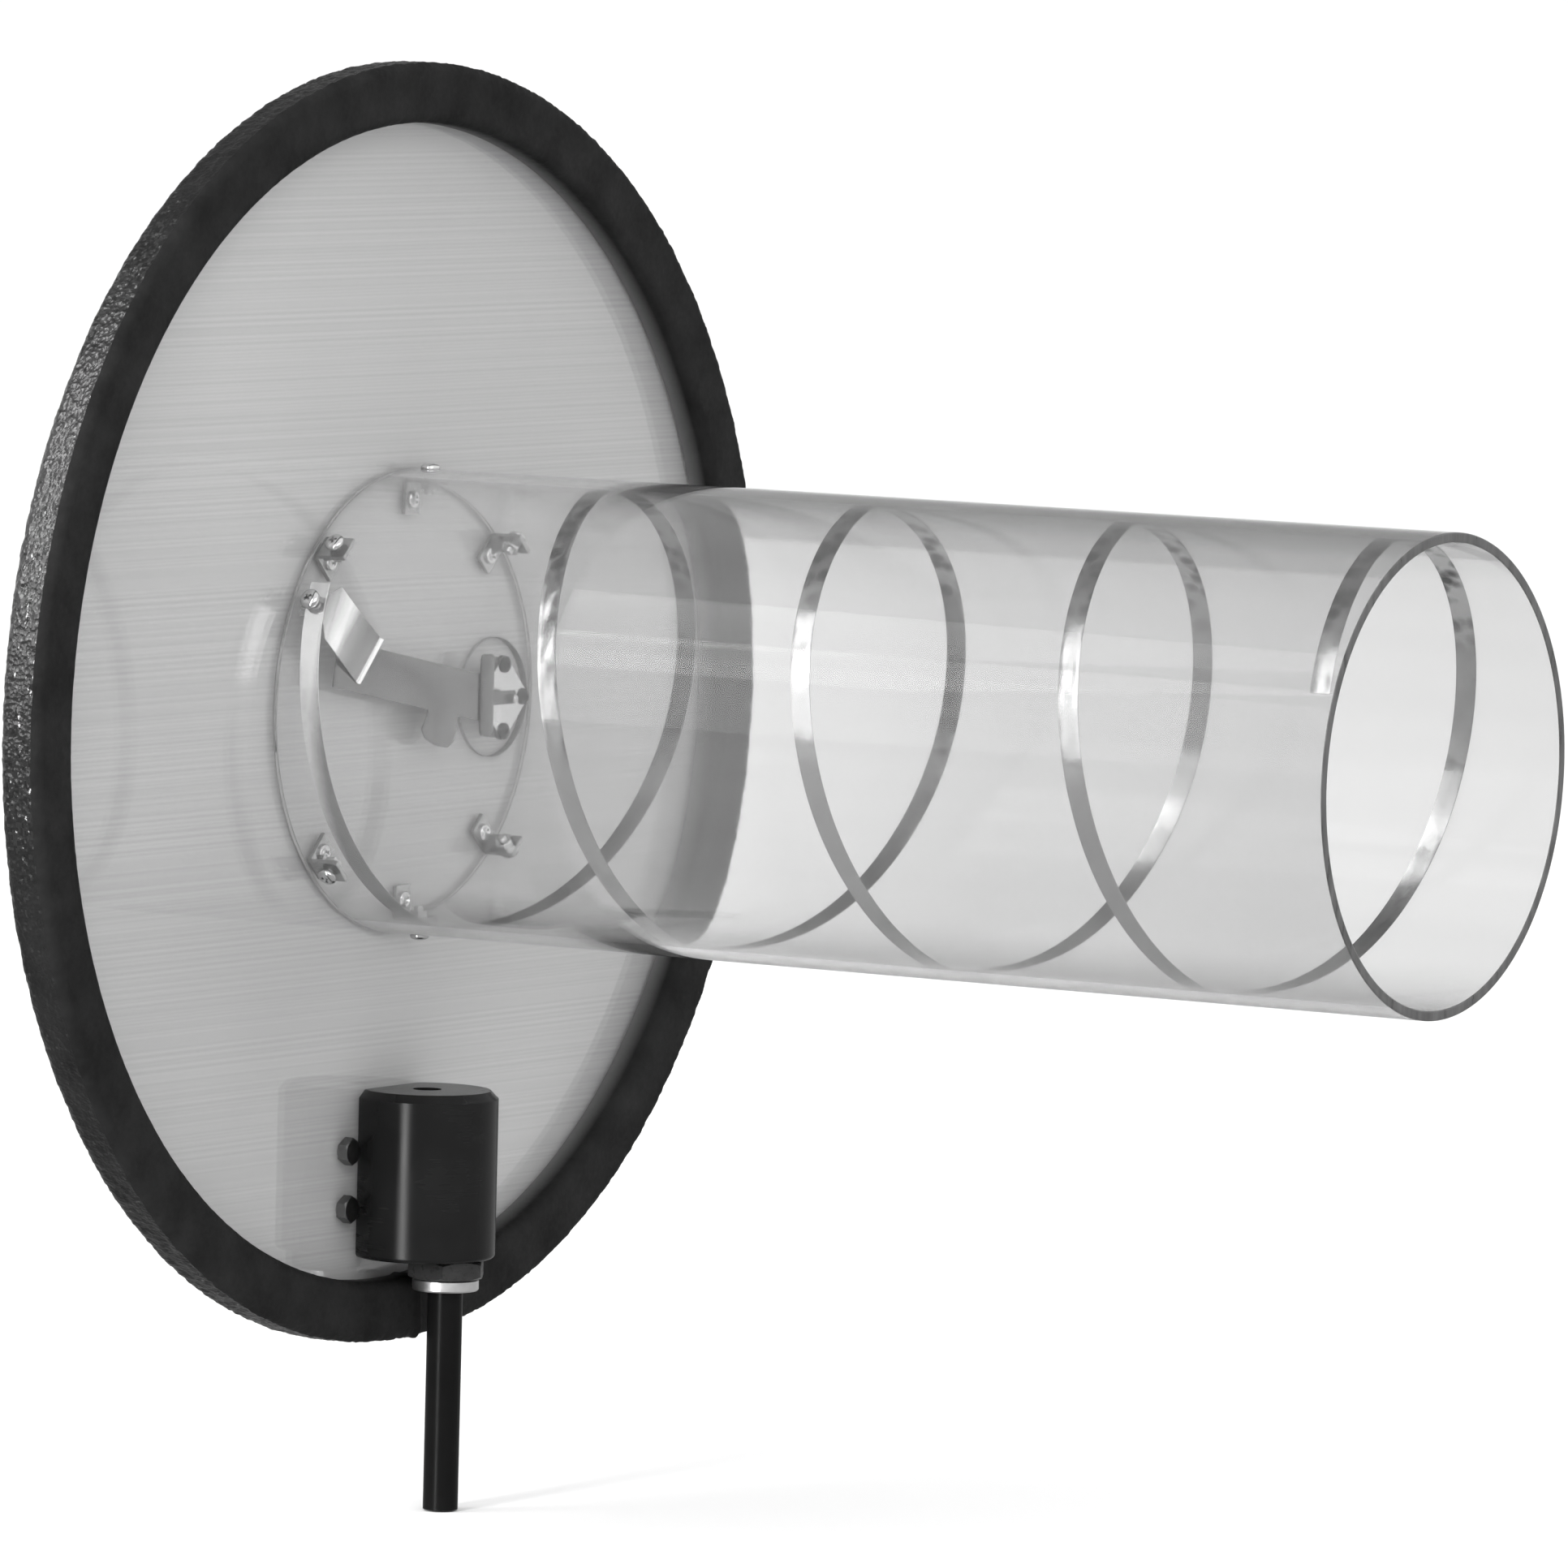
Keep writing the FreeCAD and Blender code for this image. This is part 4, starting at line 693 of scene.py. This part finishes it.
# the section is wound so that this normal leaves the foam
for j in range(SEGS):
    a = 2 * math.pi * j / SEGS
    ca, sa = math.cos(a), math.sin(a)
    d_seam = abs((a - seam + math.pi) % (2 * math.pi) - math.pi) * 205.0
    notch = 0.9 * math.exp(-(d_seam / 0.8) ** 2)
    sway = 0.35 * math.sin(3 * a + 0.7) + 0.25 * math.sin(7 * a + 2.1)
    for i in range(n):
        x, r = sec[i]
        # where the skin is free it is crinkled: strongly on the outer wall,
        # little on the front
        p = Vector((x * 0.55, -r * sa * 0.55, r * ca * 0.55))
        free = 0.0
        if r > RO - 0.6:
            free = 1.0
        elif x > XF - 1.0:
            free = 0.22 + 0.78 * max(0.0, (r - (RO - 3.6)) / 3.0) if r > RO - 3.6 else 0.16
        elif r > RO - 4.3 and (x > XF - 4 or x < XB + 4.3):
            free = 0.8
        elif abs(r - RI) < 4.0 and x > 0.5:
            free = 0.25
        elif x < XB + 0.2:
            free = 0.3
        dx = dr = 0.0
        if free > 0:
            k = noise.noise(p * 0.62) * 0.75 + noise.noise(p * 1.35 + Vector((5, 1, 3))) * 0.45
            k += noise.noise(p * 0.16 + Vector((9, 2, 7))) * 0.12
            amp = 0.50 * free * (min(k, 0.9) - 0.35) - notch * (1.0 if r > RI + 1.0 or x > 1.0 else 0.0)
            dx, dr = nrm[i][0] * amp, nrm[i][1] * amp
        xx = x + dx
        rr = r + dr + (sway * 0.3 if r < RO - 6 and x > 0.5 else 0.0)
        verts.append((xx, DISC_Y - rr * sa, rr * ca))
skin = []
for j in range(SEGS):
    j2 = (j + 1) % SEGS
    for i in range(n):
        i2 = (i + 1) % n
        faces.append((j * n + i, j2 * n + i, j2 * n + i2, j * n + i2))
        # the skin is handled smooth, fleck by fleck, on the side above the middle
        deg = (j + 0.5) * 360.0 / SEGS
        worn = min(1.0, max(0.0, (deg - 34.0) / 24.0)) * min(1.0, max(0.0, (108.0 - deg) / 24.0))
        fleck = 0.5 + 0.9 * noise.noise(Vector((j * 0.43, i * 0.57, 4.2)))
        outer = min(sec[i][1], sec[i2][1]) > RO - 2.2 and sec[i][0] < XF - 3.0
        skin.append((1 if fleck < worn else 2) if outer else 0)
foam = make("foam_trim", verts, faces, ANT, [FOAM_MAT, SKIN_MAT, SKIN_DULL], skin, True, 70.0)
place(foam, "foam_edge_trim")

# ----------------------------------------------------------------------------
# Helix strip
# ----------------------------------------------------------------------------
stations = [
    8.2, 13.9, 19.8, 26.8, 35.6, 46.5, 56.9, 65.4, 72.7, 80.1, 88.6, 98.8, 108.9, 118.4, 128.0, 138.6, 150.8, 162.0,
    170.4, 176.8, 182.3, 188.2, 195.6, 205.2, 216.2, 227.0, 236.6, 246.3, 255.8, 264.1, 271.8, 279.2, 286.8, 295.0,
    304.1, 313.9, 324.0, 334.1, 343.9, 352.9, 361.1, 368.4, 374.9, 380.5, 385.4]


def strip_x(angle):
    k = int((angle - 60.0) // 33.0)
    k = max(0, min(k, len(stations) - 2))
    u = (angle - 60.0 - 33.0 * k) / 33.0
    p1, p2 = stations[k], stations[k + 1]
    p0 = stations[k - 1] if k > 0 else 2 * p1 - p2
    p3 = stations[k + 2] if k + 2 < len(stations) else 2 * p2 - p1
    if u < 0:
        return p1 + (p2 - p1) * u
    m1, m2 = (p2 - p0) / 2.0, (p3 - p1) / 2.0
    return ((2 * u ** 3 - 3 * u ** 2 + 1) * p1 + (u ** 3 - 2 * u ** 2 + u) * m1
            + (-2 * u ** 3 + 3 * u ** 2) * p2 + (u ** 3 - u ** 2) * m2)


A0, A1, N, W = 56.0, 1507.0, 1500, 10
S_OUT, S_T = ri - 0.012, 0.26
verts, faces = [], []
for j in range(N + 1):
    a = A0 + (A1 - A0) * j / N
    t = math.radians(a)
    ct, st = math.cos(t), math.sin(t)
    cx = strip_x(a)
    hw = 3.55 + 0.06 * noise.noise(Vector((a * 0.05, 3.3, 0.0)))
    ring_pts = []
    for side in (0, 1):
        for i in range(W + 1):
            u = i / W if side == 0 else 1 - i / W
            x = cx - hw + 2 * hw * u
            edge = min(u, 1 - u)
            p = Vector((x * 0.26, a * 1.27 * 0.17, 1.0))
            turn = ((a + 20.0) % 360.0) - 55.0          # 0 at 35 degrees past the top
            crumple = (0.5 + 0.5 * noise.noise(p)) * (0.05 + 0.34 * math.exp(-(turn / 38.0) ** 2))
            if edge < 0.06:
                crumple *= 0.4
            r = (S_OUT - crumple) if side == 0 else (S_OUT - S_T - crumple)
            ring_pts.append((x, -r * st, r * ct))
    verts.extend(ring_pts)
M = 2 * (W + 1)
for j in range(N):
    for i in range(M):
        i2 = (i + 1) % M
        faces.append((j * M + i, (j + 1) * M + i, (j + 1) * M + i2, j * M + i2))
for j in (0, N):
    for i in range(W):
        faces.append((j * M + i, j * M + i + 1, j * M + M - 2 - i, j * M + M - 1 - i))
strip = make("helix_foil", verts, faces, ANT, [STRIP_MAT], None, True, 50.0)
place(strip, "helix_strip")


# ----------------------------------------------------------------------------
# Screws with domed heads and a cross recess
# ----------------------------------------------------------------------------
def cross_cutter(r, depth_z, top_z):
    bm = bmesh.new()
    w0, w1 = r * 0.10, r * 0.16
    l0, l1 = r * 0.20, r * 0.56
    for ang in (0, 90):
        m = Matrix.Rotation(math.radians(ang), 4, "Z")
        base = [(-l0, -w0), (l0, -w0), (l0, w0), (-l0, w0)]
        top = [(-l1, -w1), (l1, -w1), (l1, w1), (-l1, w1)]
        vb = [bm.verts.new(m @ Vector((x, y, depth_z))) for x, y in base]
        vt = [bm.verts.new(m @ Vector((x, y, top_z))) for x, y in top]
        bm.faces.new(vb[::-1])
        bm.faces.new(vt)
        for i in range(4):
            bm.faces.new((vb[i], vb[(i + 1) % 4], vt[(i + 1) % 4], vt[i]))
    bmesh.ops.recalc_face_normals(bm, faces=bm.faces)
    me = bpy.data.meshes.new("cutter")
    bm.to_mesh(me)
    bm.free()
    ob = bpy.data.objects.new("cutter", me)
    SC.collection.objects.link(ob)
    return ob


def screw_mesh(head_r, head_h, shank_r, length, pitch=0.5, name="screw"):
    # head above z = 0, threaded shank below; scale stays in millimetres
    prof = [(0.0, -length), (shank_r * 0.72, -length), (shank_r - 0.02, -length + shank_r * 0.35)]
    z = -length + shank_r * 0.35
    while z < -1.2:
        prof += [(shank_r - 0.17, z + pitch * 0.5), (shank_r - 0.02, z + pitch)]
        z += pitch
    prof += [(shank_r - 0.05, -0.3), (shank_r - 0.05, 0.0), (head_r * 0.97, 0.0), (head_r, head_h * 0.10), (head_r, head_h * 0.30)]
    k = 9
    for i in range(1, k + 1):
        a = math.radians(90.0 * i / k)
        prof.append((head_r * math.cos(a) if i < k else 0.0, head_h * (0.30 + 0.70 * math.sin(a))))
    v, f, _ = lathe(prof, 40)
    me = bpy.data.meshes.new(name)
    me.from_pydata(v, [], f)
    bm = bmesh.new()
    bm.from_mesh(me)
    bmesh.ops.recalc_face_normals(bm, faces=bm.faces)
    bm.to_mesh(me)
    bm.free()
    ob = bpy.data.objects.new(name, me)
    SC.collection.objects.link(ob)
    cut = cross_cutter(head_r, head_h * 0.35, head_h * 1.2)
    md = ob.modifiers.new("recess", "BOOLEAN")
    md.operation = "DIFFERENCE"
    md.object = cut
    md.solver = "EXACT"
    md.use_self = True
    dg = bpy.context.evaluated_depsgraph_get()
    res = bpy.data.meshes.new_from_object(ob.evaluated_get(dg))
    verts = [tuple(v.co) for v in res.vertices]
    faces = [tuple(p.vertices) for p in res.polygons]
    bpy.data.objects.remove(ob)
    bpy.data.objects.remove(cut)
    return verts, faces


def h7(angle, radius, x=7.5, spin=0.0):
    return about_x(angle) @ Matrix.Translation((x, 0, radius)) @ Matrix.Rotation(math.radians(spin), 4, "Z")


def along(y, z, x, spin=0.0):
    return Matrix.Translation((x, y, z)) @ TO_X @ Matrix.Rotation(math.radians(spin), 4, "Z")


sv, sf = screw_mesh(3.2, 2.1, 1.5, 8.6, name="m3")
parts = [(sv, sf, h7(a, TUBE_R, spin=17 * k)) for k, a in enumerate(angles)]
v, f = join_parts(parts)
place(make("tube_screw_set", v, f, ANT, [STEEL], None, True, 40.0), "tube_screws")

sv, sf = screw_mesh(2.88, 1.78, 1.5, 8.4, name="m3b")
parts = [(sv, sf, along(y, z, 1.5, 23 * k)) for k, (y, z) in enumerate(on_disc(a, 65.8) for a in angles)]
v, f = join_parts(parts)
place(make("disc_screw_set", v, f, ANT, [STEEL], None, True, 40.0), "disc_screws")

FEED = 61.6
sv, sf = screw_mesh(3.36, 2.2, 1.5, 8.6, name="m3c")
v, f = join_parts([(sv, sf, h7(FEED, TUBE_R, spin=31))])
place(make("feed_screw_steel", v, f, ANT, [STEEL], None, True, 40.0), "feed_screw")

conn = [(CY + 11.2 * math.cos(math.radians(a)), CZ + 11.2 * math.sin(math.radians(a))) for a in (0, 90, 180, 270)]
sv, sf = screw_mesh(2.8, 1.5, 1.25, 10.6, 0.45, name="m25")
parts = [(sv, sf, along(y, z, 4.3, 12 + 37 * k)) for k, (y, z) in enumerate(conn)]
v, f = join_parts(parts)
place(make("connector_screw_set", v, f, ANT, [SCREW_DARK], None, True, 40.0), "connector_screws")


# ----------------------------------------------------------------------------
# Feed straps
# ----------------------------------------------------------------------------
def ribbon(path, width, thick, taper=None, edge=0.06):
    # bent sheet: path is (v, x) along its centre-side face, width across
    n = len(path)
    verts, faces = [], []
    nr = []
    for i in range(n):
        a, b = path[max(i - 1, 0)], path[min(i + 1, n - 1)]
        d = Vector((b[0] - a[0], b[1] - a[1]))
        d.normalize()
        nr.append((-d.y, d.x))
    cols = 9
    for i in range(n):
        w = (taper[i] if taper else width) / 2.0
        for side in (0, 1):
            for k in range(cols):
                u = k / (cols - 1) if side == 0 else 1 - k / (cols - 1)
                s = -w + 2 * w * u
                e = min(u, 1 - u)
                off = thick if side == 0 else 0.0
                if e < 1e-6:
                    off += -edge if side == 0 else edge
                v_, x_ = path[i]
                verts.append((v_ + nr[i][0] * off, s, x_ + nr[i][1] * off))
    m = 2 * cols
    for i in range(n - 1):
        for k in range(m):
            k2 = (k + 1) % m
            faces.append((i * m + k, (i + 1) * m + k, (i + 1) * m + k2, i * m + k2))
    for i in (0, n - 1):
        for k in range(cols - 1):
            faces.append((i * m + k, i * m + k + 1, i * m + m - 2 - k, i * m + m - 1 - k))
    return verts, faces


def bent(points, radius=0.8, n=4):
    out = [points[0]]
    for i in range(1, len(points) - 1):
        p0, p, p1 = Vector(points[i - 1]), Vector(points[i]), Vector(points[i + 1])
        a, b = (p0 - p).normalized(), (p1 - p).normalized()
        d = min(radius, (p0 - p).length * 0.45, (p1 - p).length * 0.45)
        s, e = p + a * d, p + b * d
        for k in range(n + 1):
            u = k / n
            q = s * (1 - u) ** 2 + p * 2 * u * (1 - u) + e * u * u
            out.append((q.x, q.y))
    out.append(points[-1])
    return out


SLANT, DRIFT = -0.27, 2.2
fr = math.radians(FEED)
inward = Vector((0, math.sin(fr), -math.cos(fr)))
sidev = inward.cross(Vector((1, 0, 0)))
wall = Vector((0, -ri * math.sin(fr), ri * math.cos(fr)))
# local (v, s, x) -> antenna frame
STR = Matrix(((0, 0, 1, wall.x), (inward.y, sidev.y, 0, wall.y), (inward.z, sidev.z, 0, wall.z), (0, 0, 0, 1)))
path = bent([(1.4, 2.7), (1.4, 11.0), (7.8, 10.6), (18.1, 8.8), (38.4, 7.12), (39.0, 8.3)], 0.9)
tp = []
for (pv, px) in path:
    tp.append(9.0 if pv < 2.4 else (9.0 + (18.4 - 9.0) * min(1.0, (pv - 2.4) / 5.0)))
v, f = ribbon(path, 18.4, 0.45, tp)
# the strap's end is cut and folded on the slant
v = [(p[0] + k * p[1] * SLANT, p[1] + k * DRIFT, p[2]) for p, k in ((p, max(0.0, (p[0] - 15.0) / 24.0)) for p in v)]
place(make("feed_strap_bent", v, f, ANT @ STR, [STRAP_UP], None, True, 40.0), "feed_strap_upper")

low = [(-51.1, 7.1), (4.9, -2.9), (0.6, -9.2), (3.0, -12.4), (9.1, -15.0), (15.3, -16.0), (18.9, -14.4), (21.4, -9.4),
       (21.2, -5.8), (38.0, -8.8), (40.7, 6.4), (-48.4, 22.4)]
v, f = sheet_mesh(rounded(low, [0.6, 1.2, 1.0, 1.0, 1.5, 1.5, 1.5, 1.0, 0.8, 0.5, 0.5, 0.6], 4), [], 6.55, 7.05, 0.08)
place(make("feed_strap_flat", v, f, ANT @ UP, [STRAP], None, True, 40.0), "feed_strap_lower")

e_lo, e_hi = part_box("feed_end_plate")
py, pz, pw, ph = 37.6, 0.4, 3.8, 13.7
outl = [(py - pw, pz - ph), (py + pw, pz - ph), (py + pw, pz - 3.6), (CY + 2.2, pz - 3.6), (CY + 2.2, pz + 0.9), (py + pw, pz + 0.9),
        (py + pw, pz + ph), (py - pw, pz + ph)]
v, f = sheet_mesh(rounded(outl, [2.6, 2.6, 0.4, 1.6, 1.6, 0.4, 2.6, 2.6], 6), [circle(CY, CZ, 1.35, 24)], 7.12, 7.68, 0.09)
place(make("feed_end_tab", v, f, ANT @ UP, [END_TAB], None, True, 40.0), "feed_end_plate")

# ----------------------------------------------------------------------------
# Floor, light and camera
# ----------------------------------------------------------------------------
me = bpy.data.meshes.new("floor")
s = 90.0
me.from_pydata([(-s, -s, 0), (s, -s, 0), (s, s, 0), (-s, s, 0)], [], [(0, 1, 2, 3)])
me.materials.append(FLOOR)
floor = bpy.data.objects.new("floor", me)
SC.collection.objects.link(floor)
floor.location = (0, 0, -0.0006)
floor.visible_glossy = False             # polished parts see the darker studio below the table

w = bpy.data.worlds.new("studio")
SC.world = w
w.use_nodes = True
wn = w.node_tree
wn.nodes.clear()
wo = wn.nodes.new("ShaderNodeOutputWorld")
bg = wn.nodes.new("ShaderNodeBackground")
tcw = wn.nodes.new("ShaderNodeTexCoord")
spw = wn.nodes.new("ShaderNodeSeparateXYZ")
wn.links.new(tcw.outputs["Generated"], spw.inputs[0])
mr = wn.nodes.new("ShaderNodeMapRange")
mr.interpolation_type = "SMOOTHSTEP"
for i, val in enumerate((-0.05, 0.03, 0.42, 1.0)):
    mr.inputs[i + 1].default_value = val
wn.links.new(spw.outputs["Z"], mr.inputs["Value"])


def wmath(op, a, b=None):
    n = wn.nodes.new("ShaderNodeMath")
    n.operation = op
    for i, val in enumerate((a, b)):
        if val is None:
            continue
        if isinstance(val, (int, float)):
            n.inputs[i].default_value = val
        else:
            wn.links.new(val, n.inputs[i])
    return n.outputs[0]


def wrange(sock, a, b, c, d):
    n = wn.nodes.new("ShaderNodeMapRange")
    n.interpolation_type = "SMOOTHSTEP"
    for i, val in enumerate((a, b, c, d)):
        n.inputs[i + 1].default_value = val
    wn.links.new(sock, n.inputs["Value"])
    return n.outputs["Result"]


# a tall narrow light off the parts' left side, which streaks the dark upright
# parts and glints on the foam's skin
side = wmath("ABSOLUTE", wmath("ADD", wmath("DIVIDE", spw.outputs["X"], wmath("ABSOLUTE", spw.outputs["Y"])), 0.017))
band = wmath("MULTIPLY", wrange(side, 0.10, 0.045, 0.0, 1.0), wrange(spw.outputs["Y"], -0.25, -0.5, 0.0, 1.0))
band = wmath("MULTIPLY", band, wrange(spw.outputs["Z"], 0.66, 0.50, 0.0, 1.0))
band = wmath("MULTIPLY", band, wrange(spw.outputs["Z"], -0.60, -0.40, 0.0, 1.0))
# the room's dark side, behind the disc and overhead
dt = wn.nodes.new("ShaderNodeVectorMath")
dt.operation = "DOT_PRODUCT"
wn.links.new(tcw.outputs["Generated"], dt.inputs[0])
dt.inputs[1].default_value = (-0.462, 0.545, 0.700)
room = wmath("MULTIPLY", mr.outputs["Result"], wrange(dt.outputs["Value"], 0.60, 0.88, 1.0, 0.30))
glow = wmath("ADD", room, wmath("MULTIPLY", band, 23.0))
cmb = wn.nodes.new("ShaderNodeCombineColor")
for i in range(3):
    wn.links.new(glow, cmb.inputs[i])
wn.links.new(cmb.outputs[0], bg.inputs["Color"])
bg.inputs["Strength"].default_value = 1.15
wn.links.new(bg.outputs[0], wo.inputs["Surface"])


def lamp(name, az, el, dist, sx, sy, radiance, target=(0.10, 0.0, 0.26), visible=True):
    a, e = math.radians(az), math.radians(el)
    dirv = Vector((math.cos(e) * math.cos(a), math.cos(e) * math.sin(a), math.sin(e)))
    li = bpy.data.lights.new(name, "AREA")
    li.shape = "RECTANGLE"
    li.size, li.size_y = sx, sy
    li.energy = radiance * sx * sy * math.pi
    ob = bpy.data.objects.new(name, li)
    SC.collection.objects.link(ob)
    ob.location = Vector(target) + dirv * dist
    ob.rotation_euler = (-dirv).to_track_quat("-Z", "Y").to_euler()
    return ob


lamp("key_core", -131.0, 30.0, 3.2, 0.9, 0.75, 5.2)
lamp("key_panel", -127.0, 15.5, 3.4, 1.4, 1.75, 2.4)
lamp("key_high", -138.0, 43.0, 3.3, 0.95, 0.95, 3.6)
lamp("front_fill", -42.0, 24.0, 3.6, 2.4, 2.0, 2.4)

cam = bpy.data.cameras.new("camera")
cam_ob = bpy.data.objects.new("camera", cam)
SC.collection.objects.link(cam_ob)
right = Vector((0.8422, 0.5386, 0.0256))
back = Vector((0.5353, -0.8409, 0.0797)).normalized()
right = (right - back * right.dot(back)).normalized()
up = back.cross(right)
cam_ob.matrix_world = Matrix(((right.x, up.x, back.x, AX + 2.3794), (right.y, up.y, back.y, AY - 3.5063),
                              (right.z, up.z, back.z, AZ + 0.3144), (0, 0, 0, 1)))
cam.sensor_width = 36.0
cam.lens = 36.0 * 15997.1 / 1932.0
cam.clip_end = 400.0
SC.camera = cam_ob
SC.view_settings.view_transform = "Standard"
SC.view_settings.look = "None"
SC.cycles.max_bounces = 24
SC.cycles.transmission_bounces = 20
SC.cycles.transparent_max_bounces = 24
SC.cycles.glossy_bounces = 8

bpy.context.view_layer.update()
